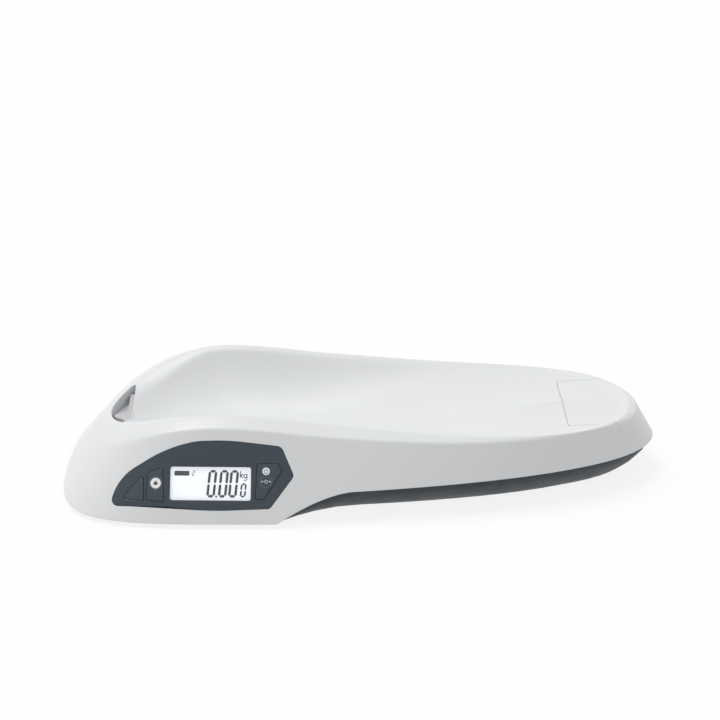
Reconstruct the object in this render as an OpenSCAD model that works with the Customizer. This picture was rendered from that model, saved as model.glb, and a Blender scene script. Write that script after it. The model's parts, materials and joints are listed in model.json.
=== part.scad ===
// Digital baby weighing scale: a one-piece cradle housing on a dark base, with a
// display console low on its front side. Millimetres, +Z up, +X towards the foot end,
// -Y is the front. The origin lies on the floor under the middle of the length.

/* [Housing plan] */
// Half of the overall length
half_len = 324.5; // [300:1:350]
// X where the widest run starts
wide_from_x = -153; // [-170:1:-130]
// X where the widest run ends
wide_to_x = -63; // [-80:1:-40]
// Half width between the rim crests
crest_half_w = 106.5; // [98:0.5:112]
// Head tip of the rim crest
crest_head_x = -277; // [-282:1:-268]
// Foot tip of the rim crest
crest_foot_x = 296; // [288:1:298]
// Half width at the fold between rim band and side wall
fold_half_w = 123; // [118:0.5:130]
// Head tip of the fold
fold_head_x = -282.5; // [-290:0.5:-280]
// Foot tip of the fold
fold_foot_x = 304.5; // [302:0.5:310]
// Half width of the skirt at its lowest line
skirt_half_w = 166.5; // [160:0.5:175]
// Wall thickness of the housing
shell_t = 3; // [2.4:0.1:3.6]

/* [Housing heights] */
// Gap under the console skirt
skirt_gap = 5; // [4:0.5:7]
// Height of the low edge where the sweep ends
low_side_z = 33.5; // [28:0.5:38]
// Height of the low edge at the foot tip
low_tip_z = 39.5; // [36:0.5:45]
// X where the low edge starts to sweep up
sweep_from_x = -86; // [-95:1:-75]
// Length of the sweep
sweep_len = 80; // [60:1:100]
// How sharply the sweep leaves the skirt
sweep_power = 1.67; // [1.3:0.01:2.4]
// Fall of the rim band per millimetre of its width
rim_fall = 0.43; // [0.3:0.01:0.5]
// Width of the sloped lip inside the crest, along the sides
lip_side_w = 9; // [6:0.5:12]
// Width of the sloped lip inside the crest, at the head
lip_head_w = 20; // [16:0.5:24]
// Fall of that lip per millimetre of its width
lip_fall = 0.3; // [0.15:0.01:0.4]
// Power of the cradle's cross-section curve
cradle_power = 2.2; // [1.8:0.1:2.8]

/* [Head pocket] */
// X of the straight seam between pocket and cradle
seam_x = -258; // [-262:0.5:-250]
// Half length of the pocket
pocket_half_l = 60; // [45:1:62]
// Wall between the crest and the pocket
pocket_wall = 2.6; // [2:0.1:4]
// Height of the pocket floor
pocket_floor_z = 45; // [40:1:50]
// Height of the insert's plate
insert_top_z = 57; // [54:0.5:59]
// Half width of the insert's tongue where it meets the wall
tongue_half_w = 2; // [1:0.5:4]
// Length over which the tongue widens into the strip
tongue_run = 14; // [10:0.5:18]
// Width of the insert's strip beside the seam
strip_w = 6; // [4:0.5:7]

/* [Foot end cover] */
// X of the cover's straight seam
cover_from_x = 223.5; // [210:0.5:240]
// Half width of the cover
cover_half_w = 64; // [50:0.5:66]
// X where the cover's side seams meet the fold
cover_turn_x = 281; // [274:0.5:286]
// Gap along the cover's seams
cover_gap = 0.3; // [0.2:0.05:0.5]

/* [Console] */
// X of the display's centre
display_x = -155.2; // [-165:0.1:-145]
// Height of the display's centre
display_z = 43.3; // [40:0.1:48]
// Width of the display window
window_w = 84; // [70:0.5:90]
// Height of the display window
window_h = 34.5; // [28:0.5:38]
// Corner radius of the display window
window_r = 2.5; // [1:0.25:4]
// How far the console panel lies below the wall
panel_drop = 0.3; // [0.1:0.05:0.6]
// Thickness of the console panel
panel_t = 1.4; // [1:0.1:1.5]
// Gap between the panel and its recess
panel_gap = 0.25; // [0.15:0.05:0.4]
// Depth of the console circuit board's face
board_depth = 19; // [18:0.5:24]

/* [Keys] */
// Key travel
key_travel = 0.6; // [0.3:0.1:0.7]
// Gap round each key
key_gap = 0.3; // [0.2:0.05:0.4]
// Depth of the key's retaining flange
flange_depth = 4.4; // [4.2:0.1:5]
// Thickness of that flange
flange_t = 1; // [0.8:0.1:1.4]
// Height of a key switch with its plunger
switch_h = 3.5; // [2.5:0.1:4]

/* [Base] */
// Height of the base's flat underside
base_z = 6; // [4:0.5:7]
// Wall thickness of the base
base_t = 2.5; // [2:0.1:3]
// Gap between the base rim and the housing
base_gap = 0.4; // [0.3:0.05:0.8]
// Inset of the underside per millimetre of hull height
hull_inset = 0.86; // [0.7:0.01:1.3]
// How far the base rim stands up inside the housing
rim_up = 4; // [3:0.5:6]

/* [Feet and load cells] */
// X of the head feet
foot_head_x = -215; // [-225:1:-200]
// Y of the head feet
foot_head_y = 106; // [90:1:110]
// X of the foot-end feet
foot_foot_x = 190; // [184:1:196]
// Y of the foot-end feet
foot_foot_y = 34; // [30:1:36]
// Radius of a foot cup
cup_r = 19; // [16:0.5:21]
// Radius of a rubber foot pad
pad_r = 17; // [14:0.5:18]
// Thickness of a rubber foot pad
pad_t = 3; // [2:0.5:4]
// Side of a square load cell
cell_w = 34; // [30:0.5:36]
// Thickness of a load cell
cell_t = 2; // [1.5:0.1:3]

/* [Batteries] */
// Diameter of a battery
cell_d = 14.2; // [13.5:0.1:14.5]
// Length of a battery
cell_l = 50.2; // [49:0.1:50.5]
// Number of batteries
cell_count = 4; // [2:1:4]
// X of the battery compartment's middle
battery_x = -8; // [-15:1:0]
// Travel of the battery door
door_travel = 8; // [5:0.5:10]
// Thickness of the battery door
door_t = 1.8; // [1.4:0.1:2.2]

/* [Hidden] */
$fn = 48;

light = [0.93, 0.93, 0.94];
slate = [0.25, 0.29, 0.32];
dark = [0.22, 0.25, 0.28];

// Bezier pulls of each plan curve: [along X at the head, sideways at the head,
// along X at the foot, sideways at the foot]
crest_pull = [88, 40, 162, 136];
fold_pull = [113, 81, 171, 118];
skirt_pull = [147, 144, 92, 107];

// Height of the rim crest against X
rim_side = [[-277, 65], [-204, 94.5], [-144, 101.5], [-24, 90.5], [96, 80.5], [196, 77.5], [296, 77.5]];
// Height of the cradle floor along its spine against X
floor_side = [[-195, 42], [-130, 39], [-50, 40], [60, 52], [140, 65], [215, 74.5]];

// Stations round half of the plan, from the head tip to the foot tip
head_steps = 14;
wide_steps = 5;
foot_steps = 20;
last = head_steps + wide_steps + foot_steps;

// ---- Curves ----

function bezier(a, b, c, d, t) =
    a * pow(1 - t, 3) + 3 * b * pow(1 - t, 2) * t + 3 * c * (1 - t) * t * t + d * pow(t, 3);

function mix(a, b, t) = a + (b - a) * t;
function clamp(v, lo, hi) = min(max(v, lo), hi);
function smooth(t) = let (u = clamp(t, 0, 1)) u * u * (3 - 2 * u);
function unit(v) = v / norm(v);

// Slope of a list of [x, height] at point i
function knot_slope(p, i) =
    let (a = max(i - 1, 0), b = min(i + 1, len(p) - 1))
    (p[b][1] - p[a][1]) / (p[b][0] - p[a][0]);

// Smooth curve through a list of [x, height]
function spline(p, x, i = 0) =
    i < len(p) - 2 && x > p[i + 1][0] ? spline(p, x, i + 1) :
    let (
        h = p[i + 1][0] - p[i][0],
        t = clamp((x - p[i][0]) / h, 0, 1),
        m0 = knot_slope(p, i) * h,
        m1 = knot_slope(p, i + 1) * h
    )
    p[i][1] * (2 * pow(t, 3) - 3 * t * t + 1) + m0 * (pow(t, 3) - 2 * t * t + t)
        + p[i + 1][1] * (3 * t * t - 2 * pow(t, 3)) + m1 * (pow(t, 3) - t * t);

// [x, half width] at station k of a plan curve: a Bezier quarter round the head, a
// straight widest run and a Bezier quarter round the foot
function plan(k, head_x, foot_x, w, pull) =
    k <= head_steps ?
        let (t = k / head_steps)
        [bezier(head_x, head_x, wide_from_x - pull[0], wide_from_x, t), bezier(0, pull[1], w, w, t)] :
    k <= head_steps + wide_steps ?
        [mix(wide_from_x, wide_to_x, (k - head_steps) / wide_steps), w] :
        let (t = (k - head_steps - wide_steps) / foot_steps)
        [bezier(wide_to_x, wide_to_x + pull[2], foot_x, foot_x, t), bezier(w, w, pull[3], 0, t)];

// Foot tip that the sloping wall would reach at its lowest line, so that its visible low
// edge ends at half the overall length
tip_fold_z = rim_side[len(rim_side) - 1][1] - rim_fall * (fold_foot_x - crest_foot_x);
skirt_foot_x = fold_foot_x
    + (half_len - fold_foot_x) * (tip_fold_z - skirt_gap) / (tip_fold_z - low_tip_z);

function crest(k) = plan(k, crest_head_x, crest_foot_x, crest_half_w, crest_pull);
function fold(k) = plan(k, fold_head_x, fold_foot_x, fold_half_w, fold_pull);
function skirt(k) = plan(k, -half_len, skirt_foot_x, skirt_half_w, skirt_pull);
function crest_z(k) = spline(rim_side, crest(k)[0]);
function fold_z(k) = crest_z(k) - rim_fall * norm(fold(k) - crest(k));
function out_dir(k) = unit(skirt(k) - fold(k));

// Height of the housing's low edge against X
function low_z(x) =
    let (s = clamp((x - sweep_from_x) / sweep_len, 0, 1), tip = half_len - sweep_from_x - sweep_len)
    skirt_gap + (low_side_z - skirt_gap) * (1 - pow(1 - s, sweep_power))
        + (low_tip_z - low_side_z) * clamp((x - sweep_from_x - sweep_len) / tip, 0, 1);

// Share of the wall's full depth at which station k meets the low edge
function low_share(k, q = 0.7, turns = 8) =
    turns == 0 ? q :
    let (x = mix(fold(k)[0], skirt(k)[0], q))
    low_share(k, (fold_z(k) - low_z(x)) / (fold_z(k) - skirt_gap), turns - 1);

// [x, half width, z] on the outer wall at station k and share q of its depth
function wall(k, q) =
    let (p = mix(fold(k), skirt(k), q))
    [p[0], p[1], mix(fold_z(k), skirt_gap, q)];

function flat(p, z) = [p[0], p[1], z];

// ---- Cradle surface ----

spine_from_x = floor_side[0][0];
spine_to_x = floor_side[len(floor_side) - 1][0];

function spine_x(k) =
    mix(spine_from_x, spine_to_x, (crest(k)[0] - crest_head_x) / (crest_foot_x - crest_head_x));
function lip_w(k) = mix(lip_head_w, lip_side_w, smooth((crest(k)[0] + 240) / 75));
function lip(k) =
    let (c = crest(k), s = [spine_x(k), 0])
    c + unit(s - c) * min(lip_w(k), norm(s - c) * 0.5);
function lip_z(k) = crest_z(k) - lip_fall * norm(crest(k) - lip(k));
function cradle_rise(k) = lip_z(k) - spline(floor_side, spine_x(k));

// Point of the cradle at share r of the way from the spine to the lip
function cradle(k, r) =
    flat(mix([spine_x(k), 0], lip(k), r), spline(floor_side, spine_x(k)) + cradle_rise(k) * pow(r, cradle_power));

// The same point moved down and out by the wall thickness
function cradle_under(k, r) =
    let (
        run = lip(k) - [spine_x(k), 0],
        m = cradle_power * cradle_rise(k) * pow(r, cradle_power - 1) / norm(run),
        d = shell_t / sqrt(1 + m * m),
        o = unit(run) * m * d,
        p = cradle(k, r)
    )
    [p[0] + o[0], p[1] + o[1], p[2] - d];

// ---- Profiles from the spine to the low edge ----

cradle_shares = [0, 0.2, 0.4, 0.56, 0.7, 0.82, 0.92, 1];
under_shares = [0, 0.4, 0.65, 0.85];
wall_shares = [0.33, 0.66, 1];

function top_profile(k) = concat(
    [for (r = cradle_shares) cradle(k, r)],
    [flat(mix(lip(k), crest(k), 0.5), mix(lip_z(k), crest_z(k), 0.75))],
    [flat(crest(k), crest_z(k)), flat(fold(k), fold_z(k))],
    [for (s = wall_shares) wall(k, s * low_share(k))]
);

// The inner corner of the fold, moved in by the wall thickness along both faces
function fold_under(k) =
    let (
        band = unit([rim_fall, 1]),
        side = unit([fold_z(k) - skirt_gap, norm(skirt(k) - fold(k))]),
        o = (band + side) / (1 + band * side) * shell_t,
        p = fold(k) - out_dir(k) * o[0]
    )
    flat(p, fold_z(k) - o[1]);

// A point of the wall's inner face at share s of its visible depth
function wall_under(k, s) =
    let (
        q = s * low_share(k),
        run = norm(skirt(k) - fold(k)),
        drop = fold_z(k) - skirt_gap,
        p = wall(k, q)
    )
    flat([p[0], p[1]] - out_dir(k) * shell_t * norm([run, drop]) / drop, p[2]);

function under_profile(k) = concat(
    [for (r = under_shares) cradle_under(k, r)],
    [flat(crest(k), crest_z(k) - shell_t * 1.2), fold_under(k)],
    [for (s = [0.5, 1]) wall_under(k, s)]
);

// ---- Meshes from profiles ----

// Vertex number of column j, from -m at the front to m at the back, in row i. The first
// and last row lie on the plane of symmetry, so their two halves are the same points.
function vertex(i, j, m, rows, base) =
    base + (i == 0 ? abs(j) : (m + 1) + (i - 1) * (2 * m + 1) + (i == rows ? abs(j) : j + m));

function mirrored(profile, i, rows) =
    let (m = len(profile) - 1)
    i == 0 || i == rows ? [for (p = profile) [p[0], 0, p[2]]] :
    concat([for (j = [m:-1:1]) [profile[j][0], -profile[j][1], profile[j][2]]], [for (p = profile) p]);

function all_points(profiles) =
    [for (i = [0:len(profiles) - 1]) each mirrored(profiles[i], i, len(profiles) - 1)];

function two(a, b, c, d) = [[a, b, c], [a, c, d]];

// Two triangles on a quad, split along the other diagonal if turned
function halves(a, b, c, d, turned) = turned ? [[a, b, d], [b, c, d]] : [[a, b, c], [a, c, d]];

// Upper face of a mirrored grid; flip makes it a lower face. The diagonals mirror each
// other in Y and keep off the straight spine at both ends.
function sheet(rows, m, base, flip) = [
    for (i = [0:rows - 1], j = [-m:m - 1])
        let (
            a = vertex(i, j, m, rows, base),
            b = vertex(i, j + 1, m, rows, base),
            c = vertex(i + 1, j + 1, m, rows, base),
            d = vertex(i + 1, j, m, rows, base),
            turned = (j < 0) != (i >= rows / 2)
        )
        each flip ? halves(d, c, b, a, !turned) : halves(a, b, c, d, turned)
];

// Closed body between an upper and a lower set of mirrored profiles, joined at their edge
module slab(top, under) {
    rows = len(top) - 1;
    mt = len(top[0]) - 1;
    mu = len(under[0]) - 1;
    top_points = all_points(top);
    base = len(top_points);
    edge = [
        for (i = [0:rows - 1], side = [-1, 1])
            let (
                a = vertex(i, side * mt, mt, rows, 0),
                b = vertex(i + 1, side * mt, mt, rows, 0),
                c = vertex(i + 1, side * mu, mu, rows, base),
                d = vertex(i, side * mu, mu, rows, base)
            )
            each side < 0 ? two(a, b, c, d) : two(a, d, c, b)
    ];
    polyhedron(concat(top_points, all_points(under)), concat(sheet(rows, mt, 0, false), sheet(rows, mu, base, true), edge));
}

// Closed body between two open grids of points, the outer one first
module plate(outer, inner) {
    rows = len(outer) - 1;
    cols = len(outer[0]) - 1;
    n = (rows + 1) * (cols + 1);
    function at(i, j, back) = i * (cols + 1) + j + (back ? n : 0);
    faces = concat(
        [for (i = [0:rows - 1], j = [0:cols - 1])
            each two(at(i, j, false), at(i, j + 1, false), at(i + 1, j + 1, false), at(i + 1, j, false))],
        [for (i = [0:rows - 1], j = [0:cols - 1])
            each two(at(i, j, true), at(i + 1, j, true), at(i + 1, j + 1, true), at(i, j + 1, true))],
        [for (i = [0:rows - 1])
            each two(at(i, 0, false), at(i + 1, 0, false), at(i + 1, 0, true), at(i, 0, true))],
        [for (i = [0:rows - 1])
            each two(at(i + 1, cols, false), at(i, cols, false), at(i, cols, true), at(i + 1, cols, true))],
        [for (j = [0:cols - 1])
            each two(at(0, j + 1, false), at(0, j, false), at(0, j, true), at(0, j + 1, true))],
        [for (j = [0:cols - 1])
            each two(at(rows, j, false), at(rows, j + 1, false), at(rows, j + 1, true), at(rows, j, true))]
    );
    polyhedron([for (g = [outer, inner], row = g, p = row) p], faces);
}

// ---- Front wall: points, frames and skins ----

function front(k, q) = let (p = wall(k, q)) [p[0], -p[1], p[2]];
function share_at(k, z) = (fold_z(k) - z) / (fold_z(k) - skirt_gap);

// Station where the front wall passes x at height z
function station(x, z, lo = 3, hi = last - 3, turns = 26) =
    let (k = (lo + hi) / 2)
    turns == 0 ? k :
    front(k, share_at(k, z))[0] < x ? station(x, z, k, hi, turns - 1) : station(x, z, lo, k, turns - 1);

function on_wall(x, z) = let (k = station(x, z)) front(k, share_at(k, z));

// Axes of the wall at x and z: along it, up it and out of it
function wall_axes(x, z, reach = 12) =
    let (
        along = unit(on_wall(x + reach, z) - on_wall(x - reach, z)),
        rise = on_wall(x, z + reach) - on_wall(x, z - reach),
        up = unit(rise - along * (rise * along))
    )
    [along, up, cross(along, up)];

// Places children on the wall with x along it, y up it and z out of it
module on_wall_at(x, z, reach = 12) {
    a = wall_axes(x, z, reach);
    o = on_wall(x, z);
    multmatrix([
        [a[0][0], a[1][0], a[2][0], o[0]],
        [a[0][1], a[1][1], a[2][1], o[1]],
        [a[0][2], a[1][2], a[2][2], o[2]],
        [0, 0, 0, 1]
    ])
        children();
}

module on_console() {
    on_wall_at(display_x, display_z, window_w / 2) children();
}

// The wall's point at station k and share q, moved out along its normal
function wall_off(k, q, d) =
    let (n = unit(cross(front(k + 0.2, q) - front(k - 0.2, q), front(k, q - 0.05) - front(k, q + 0.05))))
    front(k, q) + n * d;

skin_from = 5;
skin_to = head_steps + wide_steps + 4;
skin_step = 0.75;

// Layer of the front wall between two depths, over the console's part of it
module skin(outer, inner) {
    stations = [skin_from:skin_step:skin_to];
    shares = [1.02, 0.8, 0.6, 0.4, 0.2, 0.03];
    plate(
        [for (k = stations) [for (q = shares) wall_off(k, q, outer)]],
        [for (k = stations) [for (q = shares) wall_off(k, q, inner)]]
    );
}

// ---- Outlines ----

// Polygon with an arc at each corner, from a list of [x, y, radius]
function round_corners(p, grow = 0, arc_steps = 6) = [
    for (i = [0:len(p) - 1])
        let (
            n = len(p),
            b = [p[i][0], p[i][1]],
            a = [p[(i + n - 1) % n][0], p[(i + n - 1) % n][1]],
            c = [p[(i + 1) % n][0], p[(i + 1) % n][1]],
            u = unit(a - b),
            v = unit(c - b),
            half = acos(clamp(u * v, -1, 1)) / 2,
            r = p[i][2],
            centre = b + unit(u + v) * r / sin(half),
            turn = 90 - half,
            mid = unit(-u - v)
        )
        for (s = [0:arc_steps])
            let (g = -turn + 2 * turn * s / arc_steps)
            centre + (r + grow) * [mid[0] * cos(g) - mid[1] * sin(g), mid[0] * sin(g) + mid[1] * cos(g)]
];

// Outlines in the display's frame, anticlockwise
panel_outline = [
    [-105.5, -23.5, 7], [6, -28.2, 400], [62, -25.5, 6], [86.5, 8.5, 6], [73, 39, 8],
    [18, 44.8, 230], [-14, 43.8, 85], [-46, 36.5, 150], [-97.5, 5.5, 50]
];
left_outline = [[-92.5, -15.5, 2], [-69.3, -18.6, 1.8], [-70.8, 8.8, 1.8]];
hold_outline = [[-66.3, -17.6, 2], [-48.6, -19.2, 2], [-50.2, 16.3, 2], [-65.9, 10.2, 2.5]];
zero_outline = [[47.2, -16.2, 2], [56.2, -15, 2.2], [73.6, 13.4, 2.5], [70.2, 21, 2.5], [48.4, 20.6, 2]];
board_outline = [[-89, -21, 3], [77, -21, 3], [77, 30, 3], [-89, 30, 14]];

// Where each key presses its switch, in the same frame
left_at = [-76, -9];
hold_at = [-57.5, -3];
zero_at = [58, 5];
// Where the console board is screwed down
console_screw_at = [[-83, 15], [-8, 26], [62, 26], [71, -16]];

window_outline = [
    [-window_w / 2, -window_h / 2, window_r], [window_w / 2, -window_h / 2, window_r],
    [window_w / 2, window_h / 2, window_r], [-window_w / 2, window_h / 2, window_r]
];

reach_out = 12;
reach_in = 26;
skin_back = panel_drop + panel_t;
glue = 0.1;

// Outline extruded along the display's axis, between two depths
module prism(outline, grow, from, to) {
    on_console()
        translate([0, 0, from])
            linear_extrude(to - from)
                polygon(round_corners(outline, grow));
}

// The part of a wall layer inside an outline
module layer(outline, grow, outer, inner) {
    intersection() {
        skin(outer, inner);
        prism(outline, grow, -reach_in, reach_out);
    }
}

// ---- Head pocket and foot end cover outlines ----

pocket_gap = 0.25;
cup_wall = 1.8;
tongue_reach = seam_x - crest_head_x - pocket_wall - 2;

// Station where the crest is w wide, on the head quarter
function crest_station(w, lo = 0, hi = head_steps, turns = 22) =
    let (k = (lo + hi) / 2)
    turns == 0 ? k : crest(k)[1] < w ? crest_station(w, k, hi, turns - 1) : crest_station(w, lo, k, turns - 1);

pocket_steps = 8;

// Pocket outline: the seam on one side, the crest's own curve inset by the wall on the other
function pocket_outline(inset) =
    let (
        l = pocket_half_l - inset,
        side = [for (s = [-pocket_steps:pocket_steps])
            let (y = l * s / pocket_steps)
            [pocket_side(y, inset), y]]
    )
    concat([for (i = [len(side) - 1:-1:0]) side[i]], [[seam_x - inset, -l], [seam_x - inset, l]]);

// The insert's raised plate: a strip along the seam with a tongue out to the wall
function pocket_side(y, inset) =
    min(crest(crest_station(abs(y)))[0] + pocket_wall + inset, seam_x - inset - 2);
function plate_edge(y) = max(
    seam_x - strip_w - (tongue_reach - strip_w) * smooth(1 - (abs(y) - tongue_half_w) / tongue_run),
    pocket_side(y, pocket_gap + 0.1)
);
function plate_outline() =
    let (l = pocket_half_l - 6, n = 28)
    concat(
        [[seam_x - pocket_gap, -l], [seam_x - pocket_gap, l]],
        [for (i = [n:-1:-n]) let (y = l * i / n) [plate_edge(y), y]]
    );

// Height of the rim over the pocket's outer edge at y
function pocket_rim_z(y) = crest_z(crest_station(abs(y))) - lip_fall * pocket_wall;

module cover_region(grow) {
    far = 60;
    translate([0, 0, low_side_z - 20])
        linear_extrude(100)
            polygon([
                [cover_from_x - grow, -cover_half_w - grow], [cover_turn_x - grow, -cover_half_w - grow],
                [cover_turn_x + far - grow, far - cover_half_w - 4 - grow],
                [cover_turn_x + far - grow, cover_half_w + 4 - far + grow],
                [cover_turn_x - grow, cover_half_w + grow], [cover_from_x - grow, cover_half_w + grow]
            ]);
}

// ---- Housing ----

stations = [0:last];
post_r = 4.5;
pilot_r = 1.3;
screw_r = 1.25;
post_z = 30;
boss_sink = 1.2;
// Station and share of each pair of case screws; the last pair holds the foot end cover
case_points = [[6, 0.34], [18, 0.34], [25, 0.34], [29, 0.72], [36, 0.6]];
shell_pairs = 4;

function case_xy(c, side) = let (p = cradle(c[0], c[1])) [p[0], side * p[1]];

module housing_body() {
    slab([for (k = stations) top_profile(k)], [for (k = stations) under_profile(k)]);
}

// Cup under the pocket, from below its floor up into the rim
module pocket_cup() {
    outline = pocket_outline(-cup_wall);
    n = len(outline);
    function cup_top(p) = p[0] > seam_x - 1 ? lip_z(crest_station(abs(p[1]))) - 2 : pocket_rim_z(p[1]) - 1.6;
    low = pocket_floor_z - cup_wall;
    points = concat([for (p = outline) flat(p, low)], [for (p = outline) flat(p, cup_top(p))]);
    middle = [seam_x - 6, 0];
    faces = concat(
        [for (i = [0:n - 1]) each two(i, i + n, (i + 1) % n + n, (i + 1) % n)],
        [for (i = [0:n - 1]) [i, (i + 1) % n, 2 * n]],
        [for (i = [0:n - 1]) [(i + 1) % n + n, i + n, 2 * n + 1]]
    );
    polyhedron(concat(points, [flat(middle, low), flat(middle, pocket_rim_z(0) - 3)]), faces);
}

// Posts under the cradle for the case screws of some pairs
module posts(pairs) {
    for (i = pairs, side = [-1, 1])
        let (c = case_points[i], p = case_xy(c, side), top = cradle(c[0], c[1])[2] - shell_t + boss_sink)
            translate([p[0], p[1], post_z])
                cylinder(r = post_r, h = top - post_z);
}

module pilots(pairs) {
    for (i = pairs, side = [-1, 1])
        let (p = case_xy(case_points[i], side))
            translate([p[0], p[1], post_z - 1])
                cylinder(r = pilot_r, h = 7.5);
}

module tray_shell() {
    color(light)
        difference() {
            union() {
                housing_body();
                pocket_cup();
                posts([0:shell_pairs - 1]);
                on_console()
                    for (p = console_screw_at)
                        translate([p[0], p[1], -board_depth])
                            cylinder(r = 3, h = board_depth - console_sink(p) - shell_t + boss_sink);
            }
            pilots([0:shell_pairs - 1]);
            on_console()
                for (p = console_screw_at)
                    translate([p[0], p[1], -board_depth - 1])
                        cylinder(r = pilot_r - 0.3, h = 6);
            translate([0, 0, pocket_floor_z])
                linear_extrude(60)
                    polygon(pocket_outline(0));
            cover_region(cover_gap);
            layer(panel_outline, panel_gap, 3, -skin_back - glue);
            prism(window_outline, 2.4, -reach_in, reach_out);
            for (outline = [left_outline, hold_outline, zero_outline])
                prism(outline, key_gap, -reach_in, reach_out);
        }
}

module head_insert() {
    color(light) {
        translate([0, 0, pocket_floor_z])
            linear_extrude(4)
                polygon(pocket_outline(pocket_gap));
        translate([0, 0, pocket_floor_z + 1])
            linear_extrude(insert_top_z - pocket_floor_z - 1)
                polygon(plate_outline());
    }
}

module foot_end_cover() {
    color(light)
        difference() {
            union() {
                intersection() {
                    housing_body();
                    cover_region(0);
                }
                posts([shell_pairs]);
            }
            pilots([shell_pairs]);
        }
}

// ---- Base ----

// The base's rim follows the inside of the housing wall; below it the hull curves in
function side_run(k) = norm(skirt(k) - fold(k)) / (fold_z(k) - skirt_gap);
function low_point(k) = wall(k, low_share(k));
function hull_top_z(k) = max(low_point(k)[2], base_z + 1);
function rim_inset(k, z) = shell_t * norm([side_run(k), 1]) + base_gap + (z - low_point(k)[2]) * side_run(k);
function hull_inset_at(k, s) =
    rim_inset(k, hull_top_z(k)) + (hull_inset * (hull_top_z(k) - base_z) + 0.3) * pow(s, hull_curve);

// Outward normal of the low edge, seen from above
function low_normal(k) =
    k == 0 ? [-1, 0] : k == last ? [1, 0] :
    let (t = low_point(k + 1) - low_point(k - 1))
    unit([-t[1], t[0]]);

// Point at station k and height z: in from the low edge along the wall, then square to the edge
function inside(k, inset, z) =
    let (
        p = low_point(k),
        first = min(inset, rim_inset(k, hull_top_z(k))),
        q = [p[0], p[1]] - out_dir(k) * first - low_normal(k) * (inset - first)
    )
    [q[0], q[1], z];

hull_curve = 1.6;
hull_shares = [0, 0.3, 0.6, 0.82, 1];
function hull_z(k, s) = mix(hull_top_z(k), base_z, s);
function rim_top(k) = hull_top_z(k) + rim_up;
floor_z = base_z + base_t;
base_from_x = -230;
base_to_x = 200;

function base_spine(k, z) =
    [mix(base_from_x, base_to_x, (low_point(k)[0] + half_len) / (2 * half_len)), 0, z];

function base_under(k) = concat(
    [base_spine(k, base_z)],
    [for (i = [len(hull_shares) - 1:-1:0]) inside(k, hull_inset_at(k, hull_shares[i]), hull_z(k, hull_shares[i]))],
    [inside(k, rim_inset(k, rim_top(k)), rim_top(k))]
);

function base_top(k) = concat(
    [base_spine(k, floor_z)],
    [for (i = [len(hull_shares) - 1:-1:0])
        let (s = hull_shares[i])
        inside(k, hull_inset_at(k, s) + base_t * 0.9, max(hull_z(k, s) + base_t * s * s, floor_z))],
    [inside(k, rim_inset(k, rim_top(k)) + base_t * 0.9, rim_top(k))]
);

door_clear = 0.3;
ledge_t = 1.8;
pad_top_z = base_z + door_t + 0.2 + ledge_t;
bay_w = cell_count * (cell_d + 0.6) + 0.6;
bay_l = cell_l + 8.2;
door_w = bay_w + 6;
door_l = bay_l + 6;
tab_l = 8;
tab_out = 1.6;
tab_at = [-0.35 * door_w, 0, 0.35 * door_w];
tab_z = base_z + 1;

module box(x, y, z, w, l, h) {
    translate([x - w / 2, y - l / 2, z])
        cube([w, l, h]);
}

module door_recess() {
    translate([battery_x, 0, 0]) {
        box(door_travel / 2, 0, base_z - 1, door_w + door_travel + 2 * door_clear, door_l + 2 * door_clear,
            door_t + 1.2);
        box(0, 0, base_z + 0.5, bay_w, bay_l, 20);
        for (x = tab_at, side = [-1, 1]) {
            y = side * (door_l / 2 + (tab_out + door_clear) / 2);
            box(x + door_travel / 2, y, tab_z - 0.2, tab_l + door_travel + 2 * door_clear,
                tab_out + door_clear + 0.6, door_t - 0.6);
            box(x + door_travel, y, base_z - 1, tab_l + 2 * door_clear, tab_out + door_clear + 0.6, door_t + 1.2);
        }
    }
}

feet = [
    [foot_head_x, -foot_head_y], [foot_head_x, foot_head_y],
    [foot_foot_x, -foot_foot_y], [foot_foot_x, foot_foot_y]
];
holder_w = cell_w + 14;
holder_corner = holder_w / 2 - 3.6;
hole_r = cup_r + 1.5;
cell_z = floor_z + 3.5;
holder_top_z = cell_z + cell_t + 0.6;
corners = [[-1, -1], [1, -1], [1, 1], [-1, 1]];

main_board_x = 106;
main_board_w = 60;
main_board_l = 52;
main_board_z = 14;
main_board_t = 1.6;
main_screw = [main_board_w / 2 - 4, main_board_l / 2 - 4];
head_h = 1.6;
head_seat_z = 24;

module at_feet() {
    for (f = feet)
        translate([f[0], f[1], 0])
            children();
}

module at_corners(dx, dy) {
    for (c = corners)
        translate([c[0] * dx, c[1] * dy, 0])
            children();
}

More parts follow.
